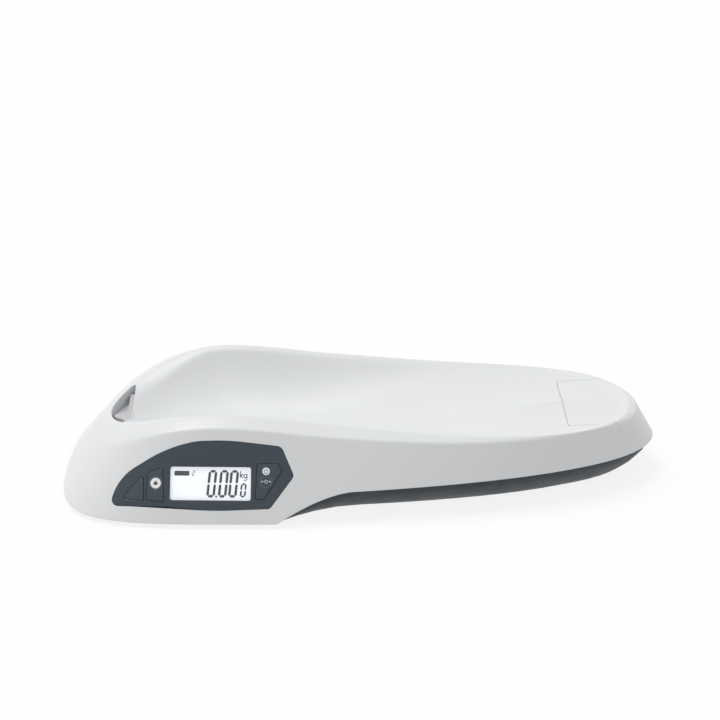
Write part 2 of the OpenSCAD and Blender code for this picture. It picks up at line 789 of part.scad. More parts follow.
module base_tray() {
    color(dark)
        difference() {
            union() {
                slab([for (k = stations) base_top(k)], [for (k = stations) base_under(k)]);
                box(battery_x + door_travel / 2, 0, base_z + 0.5, door_w + door_travel + 9, door_l + 12,
                    pad_top_z - base_z - 0.5);
                for (c = case_points, side = [-1, 1])
                    let (p = case_xy(c, side))
                        translate([p[0], p[1], base_z + 0.5])
                            cylinder(r = post_r + 0.5, h = post_z - base_z - 0.5);
                at_feet()
                    at_corners(holder_corner, holder_corner)
                        translate([0, 0, floor_z - 1])
                            cylinder(r = 2.4, h = cell_z - floor_z + 1);
                translate([main_board_x, 0, floor_z - 1])
                    at_corners(main_screw[0], main_screw[1])
                        cylinder(r = 3, h = main_board_z - floor_z + 1);
            }
            door_recess();
            for (c = case_points, side = [-1, 1])
                let (p = case_xy(c, side))
                    translate([p[0], p[1], base_z - 1]) {
                        cylinder(r = 3.3, h = head_seat_z - base_z + 1);
                        cylinder(r = 1.6, h = post_z);
                    }
            at_feet() {
                translate([0, 0, base_z - 1])
                    cylinder(r = hole_r, h = 10);
                at_corners(holder_corner, holder_corner)
                    translate([0, 0, floor_z - 0.6])
                        cylinder(r = pilot_r, h = 10);
            }
            translate([main_board_x, 0, floor_z - 0.6])
                at_corners(main_screw[0], main_screw[1])
                    cylinder(r = pilot_r, h = 10);
        }
}

// ---- Console ----

// Depth of the wall below the display's plane at a point of its frame
function console_sink(uv) =
    let (
        a = wall_axes(display_x, display_z, window_w / 2),
        o = on_wall(display_x, display_z),
        p = o + a[0] * uv[0] + a[1] * uv[1],
        q = on_wall(p[0], p[2]),
        d = (p - q) * unit(cross(on_wall(p[0] + 4, p[2]) - on_wall(p[0] - 4, p[2]),
            on_wall(p[0], p[2] + 4) - on_wall(p[0], p[2] - 4)))
    )
    d / (a[2] * unit(cross(on_wall(p[0] + 4, p[2]) - on_wall(p[0] - 4, p[2]),
        on_wall(p[0], p[2] + 4) - on_wall(p[0], p[2] - 4))));

lens_top = -2.4;
lens_t = 2;
glass_t = 2;
backlight_t = 3.2;
glass_grow = 1.4;
holder_grow = 3.4;

module console_panel() {
    color(slate)
        difference() {
            layer(panel_outline, 0, -panel_drop, -skin_back);
            prism(window_outline, 0, -reach_in, reach_out);
            for (outline = [left_outline, hold_outline, zero_outline])
                prism(outline, key_gap, -reach_in, reach_out);
        }
}

module display_lens() {
    color([0.97, 0.97, 0.98])
        prism(window_outline, -0.2, lens_top - lens_t, lens_top);
}

module display_glass() {
    color([0.9, 0.92, 0.93])
        prism(window_outline, glass_grow, lens_top - lens_t - glass_t, lens_top - lens_t);
}

module display_backlight() {
    top = lens_top - lens_t - glass_t;
    color([0.98, 0.98, 0.98])
        prism(window_outline, glass_grow, top - backlight_t, top);
}

module display_holder() {
    bottom = lens_top - lens_t - glass_t - backlight_t;
    well = 2 * glass_grow + 0.4;
    color([0.9, 0.9, 0.9])
        difference() {
            prism(window_outline, holder_grow, -board_depth, lens_top - lens_t - glass_t + 0.4);
            on_console() {
                box(0, 0, bottom, window_w + well, window_h + well, 20);
                box(0, 0, -board_depth - 1, window_w - 12, window_h - 12, 20);
            }
        }
}

// Key with a flange under the wall and a stem over its switch
module key(outline, at) {
    color(slate) {
        layer(outline, 0, -0.1, -flange_depth - flange_t / 2);
        layer(outline, 1.4, -flange_depth, -flange_depth - flange_t);
        on_console()
            translate([at[0], at[1], -board_depth + switch_h + key_travel + 0.1])
                cylinder(r = 2.4, h = board_depth - switch_h - key_travel - 0.1 - console_sink(at) - 2);
    }
}

module key_left() { key(left_outline, left_at); }
module key_hold() { key(hold_outline, hold_at); }
module key_zero() { key(zero_outline, zero_at); }

module key_switches() {
    on_console()
        for (p = [left_at, hold_at, zero_at])
            translate([p[0], p[1], -board_depth]) {
                color(dark)
                    box(0, 0, 0, 6.2, 6.2, switch_h - 0.8);
                color([0.8, 0.8, 0.78])
                    cylinder(r = 1.7, h = switch_h);
            }
}

board_t = 1.6;

module console_board() {
    color([0.1, 0.35, 0.2])
        difference() {
            prism(board_outline, 0, -board_depth - board_t, -board_depth);
            on_console()
                for (p = console_screw_at)
                    translate([p[0], p[1], -board_depth - 3])
                        cylinder(r = 1.4, h = 6);
        }
}

// Screw pointing up, its head's underside at the origin
module screw(length) {
    color([0.6, 0.61, 0.63])
        difference() {
            union() {
                translate([0, 0, -head_h])
                    cylinder(r = 2.6, h = head_h);
                cylinder(r = screw_r, h = length);
            }
            box(0, 0, -head_h - 1, 0.8, 3.4, 2);
            box(0, 0, -head_h - 1, 3.4, 0.8, 2);
        }
}

module console_screws() {
    on_console()
        for (p = console_screw_at)
            translate([p[0], p[1], -board_depth - board_t])
                scale(0.75)
                    screw(7);
}

// ---- Main board ----

module main_board() {
    color([0.1, 0.35, 0.2])
        difference() {
            box(main_board_x, 0, main_board_z, main_board_w, main_board_l, main_board_t);
            translate([main_board_x, 0, main_board_z - 1])
                at_corners(main_screw[0], main_screw[1])
                    cylinder(r = 1.5, h = 4);
        }
}

board_top_z = main_board_z + main_board_t;
plug_h = 5;
plug_y = main_board_l / 2 - 4;

module board_parts() {
    color([0.12, 0.12, 0.13]) {
        box(main_board_x + 4, 4, board_top_z, 12, 12, 1.6);
        box(main_board_x - 14, 4, board_top_z, 8, 5, 1.6);
        box(main_board_x + 4, -10, board_top_z, 9, 4, 1.4);
    }
    color([0.92, 0.92, 0.88]) {
        for (side = [-1, 1])
            box(main_board_x, side * plug_y, board_top_z, 22, 5, plug_h);
        box(main_board_x - main_board_w / 2 + 4, -8, board_top_z, 5, 14, plug_h);
    }
    color([0.75, 0.76, 0.78])
        translate([main_board_x - 10, -9, board_top_z])
            cylinder(r = 2.6, h = 5.5);
}

module beeper() {
    color([0.1, 0.1, 0.1])
        translate([main_board_x + 19, -1, board_top_z])
            difference() {
                cylinder(r = 6, h = 7.5);
                translate([0, 0, 6])
                    cylinder(r = 1.4, h = 3);
            }
}

module main_board_screws() {
    translate([main_board_x, 0, board_top_z])
        at_corners(main_screw[0], main_screw[1])
            rotate([180, 0, 0])
                screw(6);
}

// ---- Battery bay ----

cell_bottom_z = base_z + door_t + 0.8;
cell_mid_z = cell_bottom_z + cell_d / 2;
bay_top_z = cell_bottom_z + cell_d + 0.4;
bay_wall = 1.8;
cell_xs = [for (i = [0:cell_count - 1]) (i - (cell_count - 1) / 2) * (cell_d + 0.6)];

module battery_box() {
    color(dark)
        translate([battery_x, 0, 0])
            difference() {
                box(0, 0, pad_top_z, bay_w + 2 * bay_wall, bay_l + 2 * bay_wall, bay_top_z + bay_wall - pad_top_z);
                box(0, 0, pad_top_z - 1, bay_w, bay_l, bay_top_z - pad_top_z + 1);
            }
}

module batteries() {
    translate([battery_x, 0, cell_mid_z])
        for (i = [0:cell_count - 1])
            translate([cell_xs[i], 0, 0])
                rotate([i % 2 == 0 ? -90 : 90, 0, 0])
                    translate([0, 0, -cell_l / 2]) {
                        color([0.16, 0.2, 0.3])
                            cylinder(r = cell_d / 2, h = cell_l - 1.3);
                        color([0.8, 0.8, 0.82])
                            cylinder(r = 2.7, h = cell_l);
                    }
}

leaf_t = 0.5;

// Leaf at one end of the bay with a stud against each of its cells
module leaf(cells, side) {
    from = cell_xs[cells[0]] - 5;
    to = cell_xs[cells[len(cells) - 1]] + 5;
    color([0.78, 0.78, 0.76]) {
        box((from + to) / 2, side * (bay_l / 2 - leaf_t / 2), cell_mid_z - 5, to - from, leaf_t, 10);
        for (i = cells)
            translate([cell_xs[i], side * (bay_l / 2 - 0.1), cell_mid_z])
                rotate([side * 90, 0, 0])
                    cylinder(r = 2.4, h = (bay_l - cell_l) / 2 - 0.1);
    }
}

module battery_contacts() {
    translate([battery_x, 0, 0]) {
        for (i = [0:2:cell_count - 2])
            leaf([i, i + 1], 1);
        if (cell_count % 2 == 1)
            leaf([cell_count - 1], 1);
        leaf([0], -1);
        for (i = [1:2:cell_count - 2])
            leaf([i, i + 1], -1);
        if (cell_count % 2 == 0)
            leaf([cell_count - 1], -1);
    }
}

module battery_door() {
    color(dark)
        translate([battery_x, 0, 0])
            difference() {
                union() {
                    box(0, 0, base_z, door_w, door_l, door_t);
                    for (x = tab_at, side = [-1, 1])
                        box(x, side * (door_l / 2 + tab_out / 2 - 0.5), tab_z, tab_l, tab_out + 1, door_t - 1);
                }
                for (i = [0:3])
                    box(door_w / 2 - 9 - 3 * i, 0, base_z - 1, 1.4, 26, 1.5);
            }
}

// ---- Feet ----

module load_cells() {
    at_feet()
        color([0.72, 0.73, 0.75])
            difference() {
                box(0, 0, cell_z, cell_w, cell_w, cell_t);
                for (side = [-1, 1])
                    box(side * cell_w * 0.26, 0, cell_z - 1, cell_w * 0.1, cell_w * 0.66, cell_t + 2);
                box(0, cell_w * 0.28, cell_z - 1, cell_w * 0.6, cell_w * 0.1, cell_t + 2);
            }
}

module cell_holders() {
    at_feet()
        color([0.85, 0.85, 0.84])
            difference() {
                box(0, 0, floor_z, holder_w, holder_w, holder_top_z - floor_z);
                translate([0, 0, floor_z - 1])
                    cylinder(r = hole_r, h = 20);
                box(0, 0, cell_z, cell_w + 0.3, cell_w + 0.3, 20);
                at_corners(holder_corner, holder_corner)
                    translate([0, 0, floor_z - 1]) {
                        cylinder(r = 2.6, h = cell_z - floor_z + 1.1);
                        cylinder(r = 1.5, h = 20);
                    }
            }
}

module holder_screws() {
    at_feet()
        at_corners(holder_corner, holder_corner)
            translate([0, 0, holder_top_z])
                rotate([180, 0, 0])
                    screw(holder_top_z - floor_z - 0.4);
}

module foot_cups() {
    at_feet()
        color([0.85, 0.85, 0.86]) {
            difference() {
                translate([0, 0, pad_t])
                    cylinder(r = cup_r, h = base_z - pad_t + 1);
                translate([0, 0, pad_t + 1.6])
                    cylinder(r = cup_r - 1.8, h = 10);
            }
            translate([0, 0, pad_t])
                cylinder(r = 4.5, h = cell_z - pad_t);
            for (turn = [0:45:135])
                rotate(turn)
                    box(0, 0, pad_t, 2 * cup_r - 2, 1.6, base_z - pad_t);
        }
}

module foot_pads() {
    at_feet()
        color([0.3, 0.3, 0.31]) {
            cylinder(r1 = pad_r - 0.6, r2 = pad_r, h = 0.6);
            translate([0, 0, 0.6])
                cylinder(r = pad_r, h = pad_t - 0.6);
        }
}

module case_screws() {
    for (c = case_points, side = [-1, 1])
        let (p = case_xy(c, side))
            translate([p[0], p[1], head_seat_z])
                screw(post_z - head_seat_z + 6);
}

// ---- Leads ----

lead_r = 1.1;

lead_sides = 10;

// Rings along a path: each is the one before, slid along its run to the plane that halves the bend
function lead_rings(path, ring, i = 1) =
    i == len(path) ? [ring] :
    let (
        d = unit(path[i] - path[i - 1]),
        e = i + 1 < len(path) ? unit(path[i + 1] - path[i]) : d,
        n = unit(d + e)
    )
    concat([ring], lead_rings(path, [for (p = ring) p + d * (((path[i] - p) * n) / (d * n))], i + 1));

module lead(path) {
    d = unit(path[1] - path[0]);
    across = unit(cross(d, [0, 0, 1]));
    up = cross(across, d);
    first = [for (j = [0:lead_sides - 1])
        path[0] + (across * cos(j * 360 / lead_sides) + up * sin(j * 360 / lead_sides)) * lead_r];
    rings = lead_rings(path, first);
    last = len(path) - 1;
    s = lead_sides;
    polyhedron(
        points = [for (r = rings, p = r) p],
        faces = concat(
            [[for (j = [0:s - 1]) j]],
            [[for (j = [s - 1:-1:0]) last * s + j]],
            [for (i = [0:last - 1], j = [0:s - 1])
                [i * s + j, (i + 1) * s + j, (i + 1) * s + (j + 1) % s, i * s + (j + 1) % s]]
        )
    );
}

module sensor_leads() {
    y = plug_y + 2.5;
    z = floor_z + lead_r;
    plug_z = board_top_z + 2.5;
    color([0.75, 0.3, 0.25])
        for (side = [-1, 1]) {
            lead([
                [foot_head_x + holder_w / 2 + 0.35, side * (foot_head_y - 15), z],
                [foot_head_x + holder_w / 2 + 10, side * (foot_head_y - 18), z],
                [-90, side * 54, z], [main_board_x - 34, side * 50, z], [main_board_x - 7, side * (y + 8), z],
                [main_board_x - 7, side * (y + 5), plug_z], [main_board_x - 7, side * y, plug_z]
            ]);
            lead([
                [foot_foot_x - holder_w / 2 - 0.5, side * foot_foot_y, z],
                [main_board_x + 44, side * (foot_foot_y + 8), z], [main_board_x + 7, side * (y + 10), z],
                [main_board_x + 7, side * (y + 5), plug_z], [main_board_x + 7, side * y, plug_z]
            ]);
        }
}

strip_t = 0.9;
strip_z = 28;
strip_h = 7;
strip_path = [[-134.5, -126], [-128, -112], [-60, -60], [50, -22], [main_board_x - 26.3, -8]];

// Plug on the console board, with its flat lead standing on edge above the battery bay
module display_lead() {
    end = strip_path[len(strip_path) - 1];
    color([0.92, 0.92, 0.88]) {
        on_console()
            box(20, 0, -board_depth - board_t - 5, 18, 6, 5);
        for (i = [0:len(strip_path) - 2])
            let (a = strip_path[i], d = strip_path[i + 1] - a)
                translate([a[0], a[1], strip_z])
                    rotate(atan2(d[1], d[0]))
                        translate([-strip_t / 2, -strip_t / 2, 0])
                            cube([norm(d) + strip_t, strip_t, strip_h]);
        translate([end[0] - 1.5, end[1] - 4, board_top_z + plug_h])
            cube([1, 8, strip_z + strip_h - board_top_z - plug_h]);
    }
}

tray_shell();
foot_end_cover();
head_insert();
base_tray();
console_panel();
display_lens();
display_glass();
display_backlight();
display_holder();
key_left();
key_hold();
key_zero();
key_switches();
console_board();
console_screws();
main_board();
board_parts();
beeper();
main_board_screws();
battery_box();
batteries();
battery_contacts();
battery_door();
load_cells();
cell_holders();
holder_screws();
foot_cups();
foot_pads();
case_screws();
sensor_leads();
display_lead();
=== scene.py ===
"""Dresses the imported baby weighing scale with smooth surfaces, a working display and finishes."""

from __future__ import annotations

import json
import logging
import math
from dataclasses import dataclass, field
from enum import Enum
from typing import Callable, Iterable, Sequence

import bmesh
import bpy
import numpy as np
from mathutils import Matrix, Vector
from mathutils.geometry import delaunay_2d_cdt

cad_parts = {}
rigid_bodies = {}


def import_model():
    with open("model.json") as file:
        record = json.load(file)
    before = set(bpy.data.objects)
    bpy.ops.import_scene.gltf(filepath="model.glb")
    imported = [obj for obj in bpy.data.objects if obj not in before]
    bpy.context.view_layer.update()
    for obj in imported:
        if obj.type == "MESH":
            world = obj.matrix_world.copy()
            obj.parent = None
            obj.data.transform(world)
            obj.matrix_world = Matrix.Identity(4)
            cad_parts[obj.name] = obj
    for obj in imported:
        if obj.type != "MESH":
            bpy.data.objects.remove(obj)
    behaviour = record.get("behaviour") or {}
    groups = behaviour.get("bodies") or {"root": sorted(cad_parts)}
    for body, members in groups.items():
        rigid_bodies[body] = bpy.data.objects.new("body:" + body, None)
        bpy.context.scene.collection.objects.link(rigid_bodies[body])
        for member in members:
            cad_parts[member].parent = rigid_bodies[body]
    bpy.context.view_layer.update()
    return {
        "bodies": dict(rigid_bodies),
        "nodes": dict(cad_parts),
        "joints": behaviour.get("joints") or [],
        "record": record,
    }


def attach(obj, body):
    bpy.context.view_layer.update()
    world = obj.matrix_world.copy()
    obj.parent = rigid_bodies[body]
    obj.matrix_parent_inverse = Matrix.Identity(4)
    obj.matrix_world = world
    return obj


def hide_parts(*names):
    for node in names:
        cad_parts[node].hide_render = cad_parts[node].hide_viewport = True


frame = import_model()

LOG = logging.getLogger("baby_scale")
MM = 0.001
Array = np.ndarray
Outline = Callable[[float], Array]


# ---------------------------------------------------------------- shader helpers


class Value:
    """A shader socket that adds Math nodes when it is used in an expression."""

    def __init__(self, graph: "Graph", socket: bpy.types.NodeSocket) -> None:
        """Keeps the graph and the socket."""
        self.graph = graph
        self.socket = socket

    def _math(self, operation: str, *values: "Value | float", clamp: bool = False) -> "Value":
        """Adds one Math node.

        Args:
            operation: The node's operation.
            values: Its inputs, in order.
            clamp: Whether the result is held between 0 and 1.

        Returns:
            The node's result.
        """
        node = self.graph.node("ShaderNodeMath", {"operation": operation, "use_clamp": clamp}, *values)
        return Value(self.graph, node.outputs[0])

    def __add__(self, other: "Value | float") -> "Value":
        """Sum."""
        return self._math("ADD", self, other)

    __radd__ = __add__

    def __mul__(self, other: "Value | float") -> "Value":
        """Product."""
        return self._math("MULTIPLY", self, other)

    __rmul__ = __mul__

    def __sub__(self, other: "Value | float") -> "Value":
        """Difference."""
        return self._math("SUBTRACT", self, other)

    def __rsub__(self, other: "Value | float") -> "Value":
        """Reflected difference."""
        return self._math("SUBTRACT", other, self)

    def between(self, low: float, high: float) -> "Value":
        """Share of the way from low to high, held between 0 and 1."""
        return self._math("MULTIPLY", self - low, 1.0 / (high - low), clamp=True)


class Graph:
    """A new material with one method that adds nodes."""

    def __init__(self, name: str) -> None:
        """Makes the material and finds its shader."""
        self.material = bpy.data.materials.new(name)
        self.material.use_nodes = True
        self.tree = self.material.node_tree
        self.shader = next(n for n in self.tree.nodes if n.type == "BSDF_PRINCIPLED")
        self.place = self.node("ShaderNodeTexCoord", {}).outputs["Object"]

    def node(self, kind: str, settings: dict, *values: object, **named: object) -> bpy.types.Node:
        """Adds a node.

        Args:
            kind: The node's type.
            settings: Its properties, set before its sockets.
            values: Values or links of its first sockets.
            named: Values or links of sockets by name, with underscores for spaces.

        Returns:
            The node.
        """
        node = self.tree.nodes.new(kind)
        for key, value in settings.items():
            setattr(node, key, value)
        pairs = list(zip(node.inputs, values))
        pairs += [(node.inputs[key.replace("_", " ")], value) for key, value in named.items()]
        for socket, value in pairs:
            self.feed(socket, value)
        return node

    def feed(self, socket: bpy.types.NodeSocket, value: object) -> None:
        """Links a socket to a value's node, or sets it."""
        if isinstance(value, Value):
            value = value.socket
        if isinstance(value, bpy.types.NodeSocket):
            self.tree.links.new(value, socket)
        else:
            socket.default_value = value

    def noise(
        self, scale: float, detail: float = 2.0, stretch: tuple[float, float, float] = (1, 1, 1)
    ) -> Value:
        """Noise over the object's own coordinates.

        Args:
            scale: Cells per metre.
            detail: Octaves.
            stretch: Scale of each axis.

        Returns:
            The noise, about 0.5 on average.
        """
        where = self.place
        if stretch != (1, 1, 1):
            where = self.node("ShaderNodeMapping", {}, Vector=self.place, Scale=stretch).outputs[0]
        made = self.node("ShaderNodeTexNoise", {}, Vector=where, Scale=scale, Detail=detail)
        return Value(self, made.outputs[0])

    def blend(
        self, share: Value | float, low: Sequence[float], high: Sequence[float]
    ) -> bpy.types.NodeSocket:
        """Mixes two colours.

        Args:
            share: 0 gives low and 1 gives high.
            low: First colour.
            high: Second colour.

        Returns:
            The mixed colour's socket.
        """
        node = self.node("ShaderNodeMix", {"data_type": "RGBA"})
        self.feed(node.inputs[0], share)
        for index, colour in ((6, low), (7, high)):
            self.feed(node.inputs[index], (*colour, 1.0) if isinstance(colour, tuple) else colour)
        return node.outputs[2]

    def set(self, **named: object) -> None:
        """Feeds the shader's sockets by name, with underscores for spaces."""
        for key, value in named.items():
            self.feed(self.shader.inputs[key.replace("_", " ")], value)

    def bump(self, height: Value, distance: float, strength: float = 1.0) -> None:
        """Feeds the shader's normal with a bump of a height in shares of a distance in metres."""
        node = self.node("ShaderNodeBump", {}, Strength=strength, Distance=distance, Height=height)
        self.set(Normal=node.outputs[0])


# ---------------------------------------------------------------- finishes


@dataclass(frozen=True)
class Finish:
    """A finish that can make its material once."""

    name: str
    colour: tuple[float, float, float]

    def build(self) -> bpy.types.Material:
        """Makes the material."""
        graph = Graph(self.name)
        self.dress(graph)
        return graph.material

    def dress(self, graph: Graph) -> None:
        """Feeds the shader."""
        graph.set(Base_Color=(*self.colour, 1.0))

    def shade(self, factor: float) -> tuple[float, float, float]:
        """The colour times a factor."""
        return tuple(c * factor for c in self.colour)


@dataclass(frozen=True)
class Moulded(Finish):
    """Moulded plastic: fine spark grain, faint flow mottling, a few rubbed places."""

    roughness: float = 0.4
    grain: float = 0.00002
    mottle: float = 0.02
    rub: float = 0.08
    glow: float = 0.0

    def dress(self, graph: Graph) -> None:
        """Colour drifts with slow noise, roughness with rubbed patches; the bump is the mould's grain."""
        dim, bright = self.shade(1 - self.mottle), self.shade(1 + self.mottle)
        flow = graph.noise(7.0, 3.0, (1.0, 2.2, 2.2))
        fine = graph.noise(2600.0, 2.0)
        rubbed = graph.noise(38.0, 4.0).between(0.42, 0.72)
        scratch = graph.noise(90.0, 2.0, (1.0, 14.0, 5.0)).between(0.68, 0.74)
        graph.set(
            Base_Color=graph.blend(flow.between(0.3, 0.7), dim, bright),
            Roughness=rubbed * self.rub + scratch * (0.5 * self.rub) + self.roughness,
        )
        # The glow is emitted light. On the display it is the backlight. On the white print it is painted
        # light that brightens the marks.
        if self.glow:
            graph.set(Emission_Color=(*self.colour, 1.0), Emission_Strength=self.glow)
        graph.bump(fine * 0.8 + scratch * 0.2, self.grain)


@dataclass(frozen=True)
class Brushed(Finish):
    """Bare or plated metal with drawn streaks."""

    roughness: float = 0.3
    streak: tuple[float, float, float] = (1.0, 30.0, 30.0)

    def dress(self, graph: Graph) -> None:
        """Streaks run along one axis, in colour, roughness and bump alike."""
        streaks = graph.noise(120.0, 3.0, self.streak)
        stains = graph.noise(25.0, 3.0).between(0.45, 0.75)
        graph.set(
            Base_Color=graph.blend(streaks, self.shade(0.88), self.shade(1.06)),
            Metallic=1.0,
            Roughness=streaks * 0.14 + stains * 0.1 + self.roughness,
        )
        graph.bump(streaks, 0.00001)


@dataclass(frozen=True)
class Rubber(Finish):
    """Dull rubber with a sandy face and dust in its pits."""

    def dress(self, graph: Graph) -> None:
        """Dust lightens the low places of the grain."""
        sand = graph.noise(900.0, 3.0)
        dust = graph.noise(30.0, 4.0).between(0.45, 0.7)
        graph.set(
            Base_Color=graph.blend(dust * 0.5, self.colour, self.shade(2.2)),
            Roughness=sand * 0.15 + 0.7,
        )
        graph.bump(sand, 0.00008)


@dataclass(frozen=True)
class Board(Finish):
    """Circuit board: lacquer over tracks."""

    def dress(self, graph: Graph) -> None:
        """A brick pattern stands for tracks under the lacquer."""
        tracks = graph.node(
            "ShaderNodeTexBrick", {"offset": 0.5},
            Vector=graph.place, Scale=220.0, Color1=(0, 0, 0, 1), Color2=(0, 0, 0, 1), Mortar=(1, 1, 1, 1),
            Mortar_Size=0.03,
        )
        track = Value(graph, tracks.outputs[0])
        graph.set(
            Base_Color=graph.blend(track * 0.6, self.colour, self.shade(1.9)),
            Roughness=graph.noise(60.0) * 0.1 + 0.28,
        )
        graph.bump(track, 0.00003)


@dataclass(frozen=True)
class Clear(Finish):
    """Clear window with faint smears."""

    alpha: float = 0.05

    def dress(self, graph: Graph) -> None:
        """Smears raise the roughness a little."""
        smear = graph.noise(60.0, 3.0, (1.0, 4.0, 1.0)).between(0.5, 0.8)
        graph.set(
            Base_Color=(*self.colour, 1.0),
            Roughness=smear * 0.08 + 0.03,
            Alpha=smear * 0.02 + self.alpha,
        )


@dataclass(frozen=True)
class Sleeve(Finish):
    """Battery sleeve with bands round its ends."""

    band: tuple[float, float, float] = (0.55, 0.56, 0.58)
    band_from: float = 0.0197
    band_to: float = 0.0199

    def dress(self, graph: Graph) -> None:
        """The band lies where Y is far from the middle."""
        apart = graph.node("ShaderNodeSeparateXYZ", {}, Vector=graph.place)
        y = Value(graph, apart.outputs[1])
        far = (y * y).between(self.band_from**2, self.band_to**2)
        graph.set(
            Base_Color=graph.blend(far, self.colour, self.band),
            Roughness=graph.noise(80.0, 3.0) * 0.15 + 0.25,
        )
        graph.bump(graph.noise(700.0), 0.00001)


FINISHES: dict[str, Finish] = {
    "housing_white": Moulded("housing_white", (0.785, 0.80, 0.815), 0.36, 0.000012, 0.008, 0.06),
    # The head insert's grey is painted shade: it is housing plastic, coloured darker to stand for the shade
    # in the head pocket.
    "pocket_painted_shade_grey": Moulded("pocket_painted_shade_grey", (0.56, 0.565, 0.575), 0.4, 0.00002, 0.02, 0.08),
    "base_slate": Moulded("base_slate", (0.024, 0.036, 0.048), 0.5, 0.00004, 0.06, 0.1),
    "panel_slate": Moulded("panel_slate", (0.032, 0.049, 0.065), 0.33, 0.000012, 0.03, 0.06),
    "key_slate": Moulded("key_slate", (0.040, 0.059, 0.078), 0.38, 0.000016, 0.03, 0.08),
    "display_clear": Clear("display_clear", (0.9, 0.92, 0.94)),
    "display_white": Moulded("display_white", (0.86, 0.89, 0.93), 0.25, 0.000004, 0.004, 0.03, 0.45),
    "diffuser_white": Moulded("diffuser_white", (0.82, 0.83, 0.84), 0.5),
    "inner_white": Moulded("inner_white", (0.7, 0.7, 0.69), 0.5, 0.00003),
    "switch_black": Moulded("switch_black", (0.02, 0.02, 0.022), 0.42, 0.00003, 0.1),
    "board_green": Board("board_green", (0.012, 0.09, 0.035)),
    "steel": Brushed("steel", (0.6, 0.61, 0.63), 0.25, (1.0, 1.0, 1.0)),
    "contact_steel": Brushed("contact_steel", (0.62, 0.61, 0.58), 0.22),
    "cell_steel": Brushed("cell_steel", (0.55, 0.56, 0.58), 0.34),
    "battery_blue": Sleeve("battery_blue", (0.02, 0.035, 0.09)),
    "pad_rubber": Rubber("pad_rubber", (0.05, 0.05, 0.052)),
    "lead_red": Moulded("lead_red", (0.42, 0.07, 0.05), 0.45, 0.00001, 0.05),
    "segment_dark": Moulded("segment_dark", (0.008, 0.014, 0.035), 0.3, 0.000004, 0.05, 0.04),
    # print_white's glow of 0.1 is painted light: the printed marks give off a little light so that they look
    # brighter.
    "print_white": Moulded("print_white", (0.84, 0.85, 0.86), 0.45, 0.000006, 0.01, 0.05, 0.1),
    "print_grey": Moulded("print_grey", (0.21, 0.25, 0.28), 0.4, 0.000006, 0.02, 0.05),
    "icon_dark": Moulded("icon_dark", (0.03, 0.04, 0.05), 0.45, 0.000006, 0.02, 0.05),
}


class Wardrobe:
    """Makes each finish's material once and puts it on pieces."""

    def __init__(self) -> None:
        """Starts with no materials made."""
        self.made: dict[str, bpy.types.Material] = {}

    def material(self, finish: str) -> bpy.types.Material:
        """The finish's material, made on first use."""
        if finish not in self.made:
            self.made[finish] = FINISHES[finish].build()
        return self.made[finish]

    def put(self, piece: bpy.types.Object, finish: str) -> None:
        """Puts one finish all over a piece."""
        piece.data.materials.clear()
        piece.data.materials.append(self.material(finish))

    def dress_nodes(self, frame: dict) -> None:
        """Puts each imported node's finish on it, by the record's slots."""
        for part in frame["record"]["subparts"]:
            self.put(frame["nodes"][part["node"]], part["material_slot"])


# ---------------------------------------------------------------- meshes


class Joining(Enum):
    """How a mesh is cut by another."""

    ADD = "UNION"
    REMOVE = "DIFFERENCE"
    KEEP = "INTERSECT"


def unit(v: Array) -> Array:
    """Vectors along the last axis, divided by their length."""
    return v / np.linalg.norm(v, axis=-1, keepdims=True)


def smooth(t: Array) -> Array:
    """Cubic ease of t held between 0 and 1."""
    t = np.clip(t, 0.0, 1.0)
    return t * t * (3 - 2 * t)


def linked(name: str, data: bpy.types.ID) -> bpy.types.Object:
    """A new object of some data, linked to the scene."""
    made = bpy.data.objects.new(name, data)
    bpy.context.scene.collection.objects.link(made)
    return made


def raw_mesh(name: str, points: Array, faces: Iterable[Sequence[int]]) -> bpy.types.Object:
    """Makes an object from points in millimetres.

    Args:
        name: The object's name.
        points: Points, one a row.
        faces: Corner numbers of each face.

    Returns:
        The linked object.
    """
    mesh = bpy.data.meshes.new(name)
    mesh.from_pydata((points * MM).tolist(), [], [list(map(int, f)) for f in faces])
    mesh.validate()
    return linked(name, mesh)


def tidy(
    piece: bpy.types.Object, weld: float = 1e-6, angle: float = 35.0, outward: bool = True
) -> bpy.types.Object:
    """Welds doubles, points faces outwards and shades smooth below an angle.

    Args:
        piece: The object.
        weld: Distance below which points are one, in metres.
        angle: Degrees above which an edge is sharp.
        outward: Whether the faces' directions are worked out again.

    Returns:
        The same object.
    """
    work = bmesh.new()
    work.from_mesh(piece.data)
    bmesh.ops.remove_doubles(work, verts=work.verts, dist=weld)
    bmesh.ops.dissolve_degenerate(work, edges=work.edges, dist=1e-8)
    loose = [v for v in work.verts if not v.link_faces]
    bmesh.ops.delete(work, geom=loose, context="VERTS")
    if outward:
        bmesh.ops.recalc_face_normals(work, faces=work.faces)
    work.to_mesh(piece.data)
    work.free()
    piece.data.shade_smooth()
    piece.data.set_sharp_from_angle(angle=math.radians(angle))
    return piece


def cut(
    piece: bpy.types.Object, *steps: tuple[bpy.types.Object, Joining], angle: float = 35.0
) -> bpy.types.Object:
    """Cuts a closed mesh by others in turn and drops them.

    Args:
        piece: The mesh that stays.
        steps: Each other mesh, with what is done with the overlap.
        angle: Degrees above which an edge of the result is sharp.

    Returns:
        The piece, with its cut mesh.
    """
    for tool, how in steps:
        modifier = piece.modifiers.new("cut", "BOOLEAN")
        modifier.operation = how.value
        modifier.solver = "MANIFOLD"
        modifier.object = tool
    graph = bpy.context.evaluated_depsgraph_get()
    mesh = bpy.data.meshes.new_from_object(piece.evaluated_get(graph))
    piece.modifiers.clear()
    piece.data = mesh
    for tool, _ in steps:
        bpy.data.objects.remove(tool)
    mesh.shade_smooth()
    mesh.set_sharp_from_angle(angle=math.radians(angle))
    return piece


